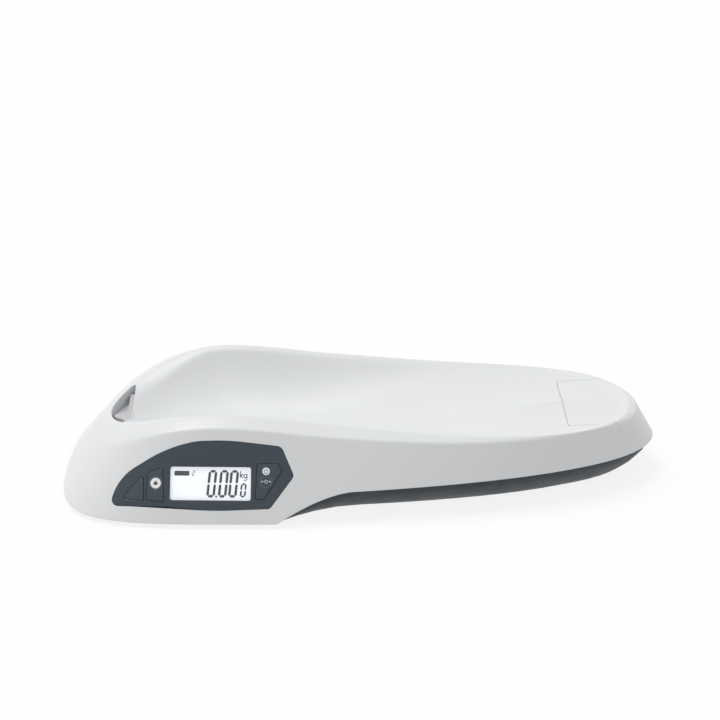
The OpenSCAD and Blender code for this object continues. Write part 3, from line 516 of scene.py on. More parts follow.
def grid_faces(rows: int, columns: int) -> Array:
    """Quads of a grid of points stored row by row.

    Args:
        rows: Points along the first axis.
        columns: Points along the second axis.

    Returns:
        Corner numbers, one quad a row.
    """
    at = np.arange(rows * columns).reshape(rows, columns)
    return np.stack([at[:-1, :-1], at[1:, :-1], at[1:, 1:], at[:-1, 1:]], -1).reshape(-1, 4)


def inside_loop(points: Array, loop: Array) -> Array:
    """Whether points lie in a closed loop, by counting the edges to their right.

    Args:
        points: Points, one a row.
        loop: The loop's corners, one a row.

    Returns:
        One truth value a point.
    """
    x, y = points[:, :1], points[:, 1:2]
    a, b = loop, np.roll(loop, -1, 0)
    crosses = (a[:, 1] > y) != (b[:, 1] > y)
    run = (y - a[:, 1]) / np.where(b[:, 1] == a[:, 1], 1e-12, b[:, 1] - a[:, 1])
    return (crosses & (x < a[:, 0] + run * (b[:, 0] - a[:, 0]))).sum(1) % 2 == 1


def loop_distance(points: Array, loop: Array) -> Array:
    """Distance of each point from a closed loop's nearest edge."""
    a, b = loop[None], np.roll(loop, -1, 0)[None]
    along = b - a
    share = np.clip(((points[:, None] - a) * along).sum(-1) / (along**2).sum(-1), 0, 1)
    return np.linalg.norm(points[:, None] - a - along * share[..., None], axis=-1).min(1)


def rounded(corners: Sequence[tuple[float, float, float]], steps: int = 8) -> Outline:
    """A polygon with an arc at each corner, as a function of how far it is grown.

    Args:
        corners: x, y and radius of each corner, anticlockwise.
        steps: Pieces in each arc.

    Returns:
        A function from growth in millimetres to the outline's points.
    """

    def outline(grow: float) -> Array:
        """Each arc's centre lies on the corner's bisector, and its radius takes the growth."""
        loops = []
        count = len(corners)
        for i, (x, y, radius) in enumerate(corners):
            b = np.array([x, y])
            u = unit(np.array(corners[i - 1][:2]) - b)
            v = unit(np.array(corners[(i + 1) % count][:2]) - b)
            half = math.acos(float(np.clip(u @ v, -1, 1))) / 2
            centre = b + unit(u + v) * radius / math.sin(half)
            middle = unit(-u - v)
            turn = math.pi / 2 - half
            angles = np.linspace(-turn, turn, steps + 1)
            ring = np.stack(
                [
                    middle[0] * np.cos(angles) - middle[1] * np.sin(angles),
                    middle[0] * np.sin(angles) + middle[1] * np.cos(angles),
                ],
                -1,
            )
            loops.append(centre + (radius + grow) * ring)
        return np.concatenate(loops)

    return outline


def rectangle(left: float, low: float, right: float, high: float, radius: float, steps: int = 8) -> Outline:
    """A rectangle with rounded corners, as a function of how far it is grown."""
    corners = ((left, low), (right, low), (right, high), (left, high))
    return rounded(tuple((*corner, radius) for corner in corners), steps)


def halve(low: Array, high: Array, turns: int, is_short: Callable[[Array], Array]) -> Array:
    """Where a test turns from true to false between low and high, by halving.

    Args:
        low: Values at which the test is true.
        high: Values at which it is false.
        turns: Halvings.
        is_short: The test.

    Returns:
        The last middle values.
    """
    for _ in range(turns):
        middle = (low + high) / 2
        short = is_short(middle)
        low, high = np.where(short, middle, low), np.where(short, high, middle)
    return middle


def circle(x: float, y: float, radius: float, steps: int = 48) -> Outline:
    """A circle as a function of how far it is grown."""

    def outline(grow: float) -> Array:
        """Points at equal angles on the grown radius."""
        a = np.linspace(0, 2 * math.pi, steps, endpoint=False)
        return np.stack([x + (radius + grow) * np.cos(a), y + (radius + grow) * np.sin(a)], -1)

    return outline


@dataclass(frozen=True)
class Sheet:
    """A plate over a surface, from an outline with holes in the surface's own two directions.

    Its edge is rolled over by rings, each a distance inside the edge and a drop below the face.
    """

    surface: Callable[[Array, Array], Array]
    outer: Outline
    holes: tuple[Outline, ...] = ()
    top: float = 0.0
    bottom: float = -1.0
    spacing: float = 5.0
    rings: tuple[tuple[float, float], ...] = ((0.0, 0.0),)

    def build(self, name: str) -> bpy.types.Object:
        """Triangulates the outline, lifts both faces to the surface and joins them at their edges.

        Args:
            name: The new object's name.

        Returns:
            The closed plate.
        """
        flat: list[Array] = []
        drops: list[Array] = []
        edges: list[tuple[int, int]] = []
        rims: list[Array] = []
        count = 0
        for index, outline in enumerate((self.outer, *self.holes)):
            for inset, drop in self.rings:
                loop = outline(-inset if index == 0 else inset)
                numbers = count + np.arange(len(loop))
                if inset == self.rings[0][0]:
                    rims.append(numbers)
                edges += list(zip(numbers.tolist(), np.roll(numbers, -1).tolist()))
                flat.append(loop)
                drops.append(np.full(len(loop), drop))
                count += len(loop)
        margin = self.rings[-1][0] + 0.35 * self.spacing
        low, high = self.outer(0).min(0), self.outer(0).max(0)
        xs = np.arange(low[0], high[0], self.spacing)
        ys = np.arange(low[1], high[1], self.spacing * 0.866)
        gx, gy = np.meshgrid(xs, ys)
        gx = gx + (np.arange(len(ys)) % 2)[:, None] * self.spacing / 2
        inner = np.stack([gx.ravel(), gy.ravel()], -1)
        keep = inside_loop(inner, self.outer(0)) & (loop_distance(inner, self.outer(0)) > margin)
        for hole in self.holes:
            keep &= ~inside_loop(inner, hole(0)) & (loop_distance(inner, hole(0)) > margin)
        inner = inner[keep]
        points = np.concatenate([*flat, inner])
        drop = np.concatenate([*drops, np.zeros(len(inner))])
        made = delaunay_2d_cdt([Vector(p) for p in points.tolist()], edges, [], 0, 1e-7)
        triangles = np.array(made[2])
        # The triangulation may merge or add points, so each result is traced back to its input.
        source = np.array([origin[0] if origin else -1 for origin in made[3]])
        triangles = source[triangles]
        triangles = triangles[(triangles >= 0).all(1)]
        middle = points[triangles].mean(1)
        keep = inside_loop(middle, self.outer(0))
        for hole in self.holes:
            keep &= ~inside_loop(middle, hole(0))
        triangles = triangles[keep]
        over = self.surface(points, self.top - drop)
        under = self.surface(points, np.full(len(points), self.bottom))
        total = len(points)
        faces: list[Sequence[int]] = triangles.tolist()
        faces += (triangles[:, ::-1] + total).tolist()
        for rim in rims:
            after = np.roll(rim, -1)
            faces += np.stack([rim, rim + total, after + total, after], -1).tolist()
        return tidy(raw_mesh(name, np.concatenate([over, under]), faces))


def flat_bars(
    polygons: Sequence[Array], low: float, high: float, place: Callable[[Array, Array], Array], name: str
) -> bpy.types.Object:
    """Thin raised shapes over a surface.

    Args:
        polygons: Each shape's convex outline.
        low: Lower offset from the surface.
        high: Upper offset.
        place: Lifts flat points to the surface.
        name: The new object's name.

    Returns:
        One object with all shapes.
    """
    points, faces, start = [], [], 0
    for polygon in polygons:
        count = len(polygon)
        points += [place(polygon, np.full(count, high)), place(polygon, np.full(count, low))]
        at = np.arange(count) + start
        faces.append(at.tolist())
        faces.append((at[::-1] + count).tolist())
        faces += np.stack([at, at + count, np.roll(at, -1) + count, np.roll(at, -1)], -1).tolist()
        start += 2 * count
    return tidy(raw_mesh(name, np.concatenate(points), faces))


def join(name: str, parts: Sequence[bpy.types.Object]) -> bpy.types.Object:
    """Joins objects' meshes into one new object and drops the parts."""
    work = bmesh.new()
    for part in parts:
        work.from_mesh(part.data)
    mesh = bpy.data.meshes.new(name)
    work.to_mesh(mesh)
    work.free()
    for part in parts:
        bpy.data.objects.remove(part)
    return linked(name, mesh)


def show(piece: bpy.types.Object, body: str, slot: str, *nodes: str) -> bpy.types.Object:
    """Attaches a piece to its body, hides the nodes that it stands for and logs its faces."""
    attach(piece, body)
    if nodes:
        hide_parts(*nodes)
    LOG.info("%s: %d faces on %s", piece.name, len(piece.data.polygons), body)
    return piece


# ---------------------------------------------------------------- the housing's form

HEAD_STEPS, WIDE_STEPS, FOOT_STEPS = 14, 5, 20
LAST = HEAD_STEPS + WIDE_STEPS + FOOT_STEPS
WIDE_FROM, WIDE_TO = -153.0, -63.0


def bezier(a: float, b: float, c: float, d: float, t: Array) -> Array:
    """Cubic Bezier through a and d with pulls b and c."""
    s = 1 - t
    return a * s**3 + 3 * b * s * s * t + 3 * c * s * t * t + d * t**3


@dataclass(frozen=True)
class PlanLine:
    """One line of the housing seen from above, as half widths against X."""

    head_x: float
    foot_x: float
    half_w: float
    pulls: tuple[float, float, float, float]

    def at(self, k: Array) -> Array:
        """Points at stations k: a Bezier quarter round the head, a straight run, another round the foot.

        Args:
            k: Stations from 0 at the head tip to the last at the foot tip.

        Returns:
            X and half width of each.
        """
        w = self.half_w
        head = np.clip(k / HEAD_STEPS, 0, 1)
        run = np.clip((k - HEAD_STEPS) / WIDE_STEPS, 0, 1)
        foot = np.clip((k - HEAD_STEPS - WIDE_STEPS) / FOOT_STEPS, 0, 1)
        at_head = (
            bezier(self.head_x, self.head_x, WIDE_FROM - self.pulls[0], WIDE_FROM, head),
            bezier(0, self.pulls[1], w, w, head),
        )
        at_foot = (
            bezier(WIDE_TO, WIDE_TO + self.pulls[2], self.foot_x, self.foot_x, foot),
            bezier(w, w, self.pulls[3], 0, foot),
        )
        middle = (WIDE_FROM + (WIDE_TO - WIDE_FROM) * run, np.full_like(run, w))
        first, second = k <= HEAD_STEPS, k <= HEAD_STEPS + WIDE_STEPS
        return np.stack(
            [np.where(first, at_head[i], np.where(second, middle[i], at_foot[i])) for i in (0, 1)], -1
        )


def spline(knots: Sequence[tuple[float, float]], x: Array) -> Array:
    """Smooth curve through knots of x and height, with slopes taken across each knot.

    Args:
        knots: x and height pairs.
        x: Where the height is wanted.

    Returns:
        The heights.
    """
    p = np.array(knots, float)
    before, after = np.maximum(np.arange(len(p)) - 1, 0), np.minimum(np.arange(len(p)) + 1, len(p) - 1)
    slope = (p[after, 1] - p[before, 1]) / (p[after, 0] - p[before, 0])
    i = np.clip(np.searchsorted(p[:, 0], x, side="left") - 1, 0, len(p) - 2)
    h = p[i + 1, 0] - p[i, 0]
    t = np.clip((x - p[i, 0]) / h, 0, 1)
    return (
        p[i, 1] * (2 * t**3 - 3 * t**2 + 1)
        + slope[i] * h * (t**3 - 2 * t**2 + t)
        + p[i + 1, 1] * (3 * t**2 - 2 * t**3)
        + slope[i + 1] * h * (t**3 - t**2)
    )


@dataclass(frozen=True)
class Form:
    """The housing's measured form, with the same values as the part's source, in millimetres."""

    half_len: float = 324.5
    shell_t: float = 3.0
    skirt_gap: float = 5.0
    low_side_z: float = 33.5
    low_tip_z: float = 39.5
    sweep_from: float = -86.0
    sweep_len: float = 80.0
    sweep_power: float = 1.67
    rim_fall: float = 0.43
    lip_side_w: float = 9.0
    lip_head_w: float = 20.0
    lip_head_x: float = -240.0
    lip_ease: float = 75.0
    lip_fall: float = 0.3
    cradle_power: float = 2.2
    crest_line: PlanLine = PlanLine(-277.0, 296.0, 106.5, (88, 40, 162, 136))
    fold_line: PlanLine = PlanLine(-282.5, 304.5, 123.0, (113, 81, 171, 118))
    skirt_line: PlanLine = PlanLine(-324.5, 344.59, 166.5, (147, 144, 92, 107))
    rim_side: tuple = (
        (-277, 65), (-204, 94.5), (-144, 101.5), (-24, 90.5), (96, 80.5), (196, 77.5), (296, 77.5),
    )
    floor_side: tuple = ((-195, 42), (-130, 39), (-50, 40), (60, 52), (140, 65), (215, 74.5))

    def crest_z(self, k: Array) -> Array:
        """Height of the rim crest."""
        return spline(self.rim_side, self.crest_line.at(k)[..., 0])

    def fold_z(self, k: Array) -> Array:
        """Height of the fold: the crest less the band's fall over its width."""
        gap = np.linalg.norm(self.fold_line.at(k) - self.crest_line.at(k), axis=-1)
        return self.crest_z(k) - self.rim_fall * gap

    def out_dir(self, k: Array) -> Array:
        """Direction outwards in plan."""
        return unit(self.skirt_line.at(k) - self.fold_line.at(k))

    def low_z(self, x: Array) -> Array:
        """Height of the low edge: level at the console, then a sweep up that eases out to the foot tip."""
        s = np.clip((x - self.sweep_from) / self.sweep_len, 0, 1)
        rest = self.half_len - self.sweep_from - self.sweep_len
        rise = (self.low_side_z - self.skirt_gap) * (1 - (1 - s) ** self.sweep_power)
        tail = np.clip((x - self.sweep_from - self.sweep_len) / rest, 0, 1)
        return self.skirt_gap + rise + (self.low_tip_z - self.low_side_z) * tail

    def low_share(self, k: Array) -> Array:
        """Share of the wall's full depth at which it meets the low edge, by repeated substitution."""
        q = np.full_like(k, 0.7, dtype=float)
        for _ in range(10):
            x = self.fold_line.at(k)[..., 0] * (1 - q) + self.skirt_line.at(k)[..., 0] * q
            q = (self.fold_z(k) - self.low_z(x)) / (self.fold_z(k) - self.skirt_gap)
        return q

    def wall(self, k: Array, q: Array) -> Array:
        """Point on the outer wall at share q of its full depth, in a straight line from fold to skirt."""
        plan = self.fold_line.at(k) * (1 - q)[..., None] + self.skirt_line.at(k) * q[..., None]
        z = self.fold_z(k) * (1 - q) + self.skirt_gap * q
        return np.concatenate([plan, z[..., None]], -1)

    def spine(self, k: Array) -> Array:
        """Point of the cradle's spine that belongs to a station."""
        share = (self.crest_line.at(k)[..., 0] - self.crest_line.head_x) / (
            self.crest_line.foot_x - self.crest_line.head_x
        )
        x = self.floor_side[0][0] + (self.floor_side[-1][0] - self.floor_side[0][0]) * share
        return np.stack([x, np.zeros_like(x), spline(self.floor_side, x)], -1)

    def lip(self, k: Array) -> Array:
        """Inner edge of the sloped lip: in from the crest towards the spine, and lower by its fall."""
        crest, spine = self.crest_line.at(k), self.spine(k)[..., :2]
        ease = smooth((crest[..., 0] - self.lip_head_x) / self.lip_ease)
        width = self.lip_head_w + (self.lip_side_w - self.lip_head_w) * ease
        reach = np.linalg.norm(spine - crest, axis=-1)
        width = np.minimum(width, reach * 0.5)
        plan = crest + unit(spine - crest) * width[..., None]
        return np.concatenate([plan, (self.crest_z(k) - self.lip_fall * width)[..., None]], -1)

    def cradle(self, k: Array, r: Array) -> Array:
        """Cradle surface: plan straight from spine to lip, height rising as a power of the share r."""
        spine, lip = self.spine(k), self.lip(k)
        plan = spine[..., :2] + (lip - spine)[..., :2] * r[..., None]
        z = spine[..., 2] + (lip - spine)[..., 2] * r**self.cradle_power
        return np.concatenate([plan, z[..., None]], -1)

    def cradle_under(self, k: Array, r: Array) -> Array:
        """The cradle moved down and out along its normal by the wall thickness."""
        run = (self.lip(k) - self.spine(k))[..., :2]
        rise = (self.lip(k) - self.spine(k))[..., 2]
        slope = self.cradle_power * rise * r ** (self.cradle_power - 1) / np.linalg.norm(run, axis=-1)
        d = self.shell_t / np.sqrt(1 + slope**2)
        shift = unit(run) * (slope * d)[..., None]
        return self.cradle(k, r) + np.concatenate([shift, -d[..., None]], -1)

    def fold_under(self, k: Array) -> Array:
        """Inner corner of the fold, moved in along both faces."""
        run = np.linalg.norm(self.skirt_line.at(k) - self.fold_line.at(k), axis=-1)
        band = unit(np.stack([np.full_like(run, self.rim_fall), np.ones_like(run)], -1))
        side = unit(np.stack([self.fold_z(k) - self.skirt_gap, run], -1))
        shift = (band + side) / (1 + (band * side).sum(-1))[..., None] * self.shell_t
        plan = self.fold_line.at(k) - self.out_dir(k) * shift[..., :1]
        return np.concatenate([plan, (self.fold_z(k) - shift[..., 1])[..., None]], -1)

    def wall_under(self, k: Array, s: float) -> Array:
        """Inner face of the wall at share s of its visible depth."""
        run = np.linalg.norm(self.skirt_line.at(k) - self.fold_line.at(k), axis=-1)
        drop = self.fold_z(k) - self.skirt_gap
        point = self.wall(k, s * self.low_share(k))
        shift = self.out_dir(k) * (self.shell_t * np.hypot(run, drop) / drop)[..., None]
        return np.concatenate([point[..., :2] - shift, point[..., 2:]], -1)

    # ---- the front wall, as the console sees it

    def front(self, k: Array, q: Array) -> Array:
        """The outer wall on the front side."""
        return self.wall(k, q) * np.array([1.0, -1.0, 1.0])

    def on_wall(self, x: Array, z: Array) -> Array:
        """Point of the front wall at given x and z, by halving the stations between which it lies."""

        def point(k: Array) -> Array:
            """The wall's point at station k and height z."""
            return self.front(k, (self.fold_z(k) - z) / (self.fold_z(k) - self.skirt_gap))

        ends = np.full_like(x, 3.0), np.full_like(x, LAST - 3.0)
        return point(halve(*ends, 30, lambda k: point(k)[..., 0] < x))


FORM = Form()


def soften(path: Array, corners: dict[int, Array], steps: int = 6) -> Array:
    """Rounds some corners of many paths at once.

    Args:
        path: Paths, stations by points by 3.
        corners: Point number to reach of its rounding at each station, in millimetres.
        steps: Pieces in each rounding.

    Returns:
        The paths, with each such corner replaced by a quadratic curve whose middle pull is the corner.
    """
    t = np.linspace(0, 1, steps + 1)[None, :, None]
    pieces = []
    for j in range(path.shape[1]):
        if j not in corners:
            pieces.append(path[:, j : j + 1])
            continue
        p = path[:, j]
        ends = []
        for other in (path[:, j - 1], path[:, j + 1]):
            away = other - p
            length = np.linalg.norm(away, axis=-1)
            ends.append((p + unit(away) * np.minimum(corners[j], 0.48 * length)[:, None])[:, None])
        pieces.append(ends[0] * (1 - t) ** 2 + p[:, None] * 2 * t * (1 - t) + ends[1] * t**2)
    return np.concatenate(pieces, 1)


def shell_of(name: str, path: Array, angle: float = 35.0) -> bpy.types.Object:
    """Closed shell from paths that run over one half's outer face and back along its inner face.

    Args:
        name: The new object's name.
        path: Stations by points by 3, in millimetres. The first and last points lie on the plane of symmetry.
        angle: Degrees above which an edge is sharp.

    Returns:
        The shell, mirrored in Y.
    """
    back = path[:, -2:0:-1] * np.array([1.0, -1.0, 1.0])
    loop = np.concatenate([path, back, path[:, :1]], 1)
    faces = grid_faces(loop.shape[0], loop.shape[1]).tolist()
    return tidy(raw_mesh(name, loop.reshape(-1, 3), faces), 1e-6, angle)


def stack(name: str, rings: Sequence[Array], angle: float = 35.0) -> bpy.types.Object:
    """Closed body through rings of equally many points, with a fan of triangles over both ends.

    Args:
        name: The new object's name.
        rings: Rings from one end to the other, in millimetres.
        angle: Degrees above which an edge is sharp.

    Returns:
        The body.
    """
    count = len(rings[0])
    points = np.concatenate([*rings, rings[0].mean(0)[None], rings[-1].mean(0)[None]])
    at = np.arange(count)
    after = np.roll(at, -1)
    faces: list[Sequence[int]] = []
    for i in range(len(rings) - 1):
        faces += (np.stack([at, after, after + count, at + count], -1) + i * count).tolist()
    last = (len(rings) - 1) * count
    faces += np.stack([after, at, np.full(count, last + count)], -1).tolist()
    faces += np.stack([at + last, after + last, np.full(count, last + count + 1)], -1).tolist()
    return tidy(raw_mesh(name, points, faces), 1e-7, angle)


def lathe(name: str, profile: Array, place: Callable[[Array], Array], steps: int) -> bpy.types.Object:
    """Closed body turned about its own axis.

    Args:
        name: The new object's name.
        profile: Radius and height of each point, starting and ending on the axis or closing on itself.
        place: Moves points from the body's own directions to the part's.
        steps: Sides.

    Returns:
        The body.
    """
    turn = np.linspace(0, 2 * math.pi, steps + 1)[:, None]
    radius, height = profile[:, 0][None], profile[:, 1][None]
    grid = np.stack([radius * np.cos(turn), radius * np.sin(turn), height + 0 * turn], -1)
    faces = grid_faces(steps + 1, len(profile)).tolist()
    return tidy(raw_mesh(name, place(grid.reshape(-1, 3)), faces), 1e-7)


def prism(
    name: str, outline: Array, low: float, high: float, place: Callable[[Array, Array], Array]
) -> bpy.types.Object:
    """A flat outline carried straight between two depths."""
    return stack(name, [place(outline, np.full(len(outline), depth)) for depth in (low, high)])


def upright(points: Array, depth: Array) -> Array:
    """Flat points seen from above, at heights."""
    return np.concatenate([points, depth[:, None]], -1)


# ---------------------------------------------------------------- housing


@dataclass
class Housing:
    """The one-piece cradle housing with its head pocket, and the separate panel at its foot end."""

    form: Form = FORM
    step: float = 0.25
    cradle_steps: int = 20
    wall_steps: int = 9
    seam_x: float = -253.5
    pocket_half: float = 54.0
    pocket_wall: float = 2.6
    pocket_z: float = 45.0
    pocket_round: float = 1.3
    fade_x: float = -212.0
    fade_len: float = 60.0
    fade_r: float = 16.0
    cup_t: float = 1.8
    cover_x: float = 223.5
    cover_half: float = 64.0
    cover_turn: float = 281.0
    post_r: float = 4.5
    post_z: float = 30.0
    pilot_r: float = 1.3
    pilot_depth: float = 6.5
    posts: tuple = ((6, 0.34), (18, 0.34), (25, 0.34), (29, 0.72))

    def paths(self) -> Array:
        """Section paths from the spine over the cradle, lip, crest, fold and wall, and back inside.

        Returns:
            Stations by points by 3. The lip is crowned between its inner edge and the crest, and each corner
            is rounded by a quadratic curve; the fold's rounding widens to the head, where the crease fades.
        """
        form, k = self.form, np.arange(0, LAST + self.step / 2, self.step)
        shares = np.append(np.linspace(0, 0.91, self.cradle_steps), 1.0)
        rows = [form.cradle(k, np.full_like(k, r)) for r in shares]
        lip, crest = form.lip(k), np.concatenate([form.crest_line.at(k), form.crest_z(k)[:, None]], -1)
        crown = lip + (crest - lip) * 0.5
        crown[:, 2] = lip[:, 2] + (crest - lip)[:, 2] * 0.75
        fold = np.concatenate([form.fold_line.at(k), form.fold_z(k)[:, None]], -1)
        low = form.low_share(k)
        rows += [crown, crest, fold]
        rows += [form.wall(k, low * s) for s in np.linspace(0.12, 0.95, self.wall_steps)]
        rows += [form.wall(k, low), *(form.wall_under(k, share) for share in (1.0, 0.93, 0.5))]
        under = crest - np.array([0, 0, form.shell_t * 1.2])
        rows += [form.fold_under(k), under]
        rows += [form.cradle_under(k, np.full_like(k, r)) for r in (0.85, 0.7, 0.55, 0.4, 0.2, 0.0)]
        path = np.stack(rows, 1)
        at_lip = self.cradle_steps
        one = np.ones_like(k)
        edge = at_lip + 4 + self.wall_steps
        fade = self.fade_r * smooth((self.fade_x - fold[:, 0]) / self.fade_len)
        corners = {
            at_lip: 7.0 * one,
            at_lip + 2: 5.5 * one,
            at_lip + 3: 2.2 + fade,
            edge: 1.0 * one,
            edge + 1: 0.8 * one,
            edge + 4: 1.0 + fade,
        }
        return soften(path, corners)

    def crest_station(self, width: Array) -> Array:
        """Station on the head quarter where the crest has a half width, by halving."""
        ends = np.zeros_like(width), np.full_like(width, float(HEAD_STEPS))
        return halve(*ends, 26, lambda k: self.form.crest_line.at(k)[..., 1] < width)

    def pocket_side(self, y: Array, inset: float) -> Array:
        """X of the pocket's outer edge at y: the crest's curve moved in by the wall."""
        crest = self.form.crest_line.at(self.crest_station(np.abs(y)))[..., 0]
        return np.minimum(crest + self.pocket_wall + inset, self.seam_x - inset - 2)

    def rim_z(self, y: Array, inset: float) -> Array:
        """Height of the crowned lip at a distance inside the crest."""
        k = self.crest_station(np.abs(y))
        lip, crest = self.form.lip(k), self.form.crest_z(k)
        width = np.linalg.norm(lip[..., :2] - self.form.crest_line.at(k), axis=-1)
        share = 1 - np.clip(inset / width, 0, 1)
        return lip[..., 2] + (crest - lip[..., 2]) * (1 - (1 - share) ** 2)

    def pocket_loop(self, inset: Array | float, count: int = 44) -> Array:
        """Pocket outline: the crest's curve on one side and the straight seam on the other.

        Args:
            inset: How far the curved side is moved in, at each of its points; the seam is moved by its mean.
            count: Points on the curved side.

        Returns:
            The outline, seen from above.
        """
        amount = np.broadcast_to(np.asarray(inset, float), (count,))
        ends = float(amount[0])
        y = np.sin(np.linspace(math.pi / 2, -math.pi / 2, count)) * (self.pocket_half - ends)
        curve = np.stack([self.pocket_side(y, 0.0) + amount, y], -1)
        straight = np.linspace(-1, 1, 15) * (self.pocket_half - ends)
        seam = np.stack([np.full_like(straight, self.seam_x - ends), straight], -1)
        return np.concatenate([curve, seam])

    def pocket_tool(self) -> bpy.types.Object:
        """Cutter of the pocket: straight up from the floor, then a quarter circle outwards at the rim.

        Returns:
            The cutter.
        """
        count = 44
        y = self.pocket_loop(0.0)[:count, 1]
        share = smooth((self.pocket_half - np.abs(y)) / 9)
        r = self.pocket_round
        top = self.rim_z(y, self.pocket_wall)
        rings = []
        for height, turn in [(self.pocket_z, None)] + [(None, a) for a in np.linspace(0, math.pi / 2, 6)]:
            loop = self.pocket_loop(0.0)
            z = np.full(len(loop), self.pocket_z)
            if turn is not None:
                loop[:count, 0] -= r * (1 - math.cos(turn)) * share
                z[:count] = top - r * share + (r * math.sin(turn)) * share + 0.12 * math.sin(turn)
                z[count:] = 70 + 2 * math.sin(turn)
            rings.append(upright(loop, z))
        rise = rings[-1].copy()
        rise[:count, 0] -= 0.3
        rise[:, 2] = 120.0
        rings.append(rise)
        return stack("pocket_tool", rings)

    def cup(self) -> bpy.types.Object:
        """Block that the pocket is cut into, from below its floor up into the rim."""
        loop = self.pocket_loop(-self.cup_t)
        y = np.clip(loop[:, 1], -self.pocket_half, self.pocket_half)
        top = self.rim_z(y, self.pocket_wall) - 1.6
        seam = loop[:, 0] > self.seam_x - 1
        top[seam] = self.form.lip(self.crest_station(np.abs(y)))[seam, 2] - 2
        low = np.full(len(loop), self.pocket_z - self.cup_t)
        return stack("cup", [upright(loop, low), upright(loop, top)])

    def cover_tool(self, grow: float) -> bpy.types.Object:
        """Prism over the foot end panel, grown by a gap."""
        far = 60.0
        x, turn, half = self.cover_x - grow, self.cover_turn - grow, self.cover_half + grow
        out, side = turn + far, far - self.cover_half - 4 - grow
        outline = np.array([[x, -half], [turn, -half], [out, side], [out, -side], [turn, half], [x, half]])
        return prism("cover_tool", outline, 13.5, 113.5, upright)

    def post(self, k: float, r: float, side: int) -> bpy.types.Object:
        """Screw post under the cradle with a pilot hole in its end."""
        p = self.form.cradle(np.array(float(k)), np.array(float(r)))
        top = p[2] - self.form.shell_t + 1.2
        low, pilot_top = self.post_z, self.post_z + self.pilot_depth
        profile = np.array(
            [
                [0, pilot_top], [self.pilot_r, pilot_top], [self.pilot_r, low],
                [self.post_r, low], [self.post_r, top], [0, top],
            ]
        )
        return lathe("post", profile, lambda q: q + np.array([p[0], side * p[1], 0]), 32)

    def build(self, console: "Console") -> tuple[bpy.types.Object, bpy.types.Object]:
        """Builds the shell, cuts the pocket, the panel's seam and the console's openings.

        Args:
            console: The console, which makes its own cutters and posts.

        Returns:
            The housing and its foot end panel.
        """
        shell = shell_of("housing", self.paths())
        cover = shell.copy()
        cover.data = shell.data.copy()
        cover.name = "foot_panel"
        bpy.context.scene.collection.objects.link(cover)
        cut(cover, (self.cover_tool(-0.2), Joining.KEEP))
        steps = [(self.cover_tool(0.3), Joining.REMOVE), (self.cup(), Joining.ADD)]
        steps += [(tool, Joining.REMOVE) for tool in (self.pocket_tool(), *console.tools())]
        cut(shell, *steps)
        inside = [self.post(k, r, side) for k, r in self.posts for side in (-1, 1)]
        whole = join("housing", [shell, *inside, *console.posts()])
        cover = join("foot_panel", [cover, self.post(36, 0.6, -1), self.post(36, 0.6, 1)])
        return whole, cover


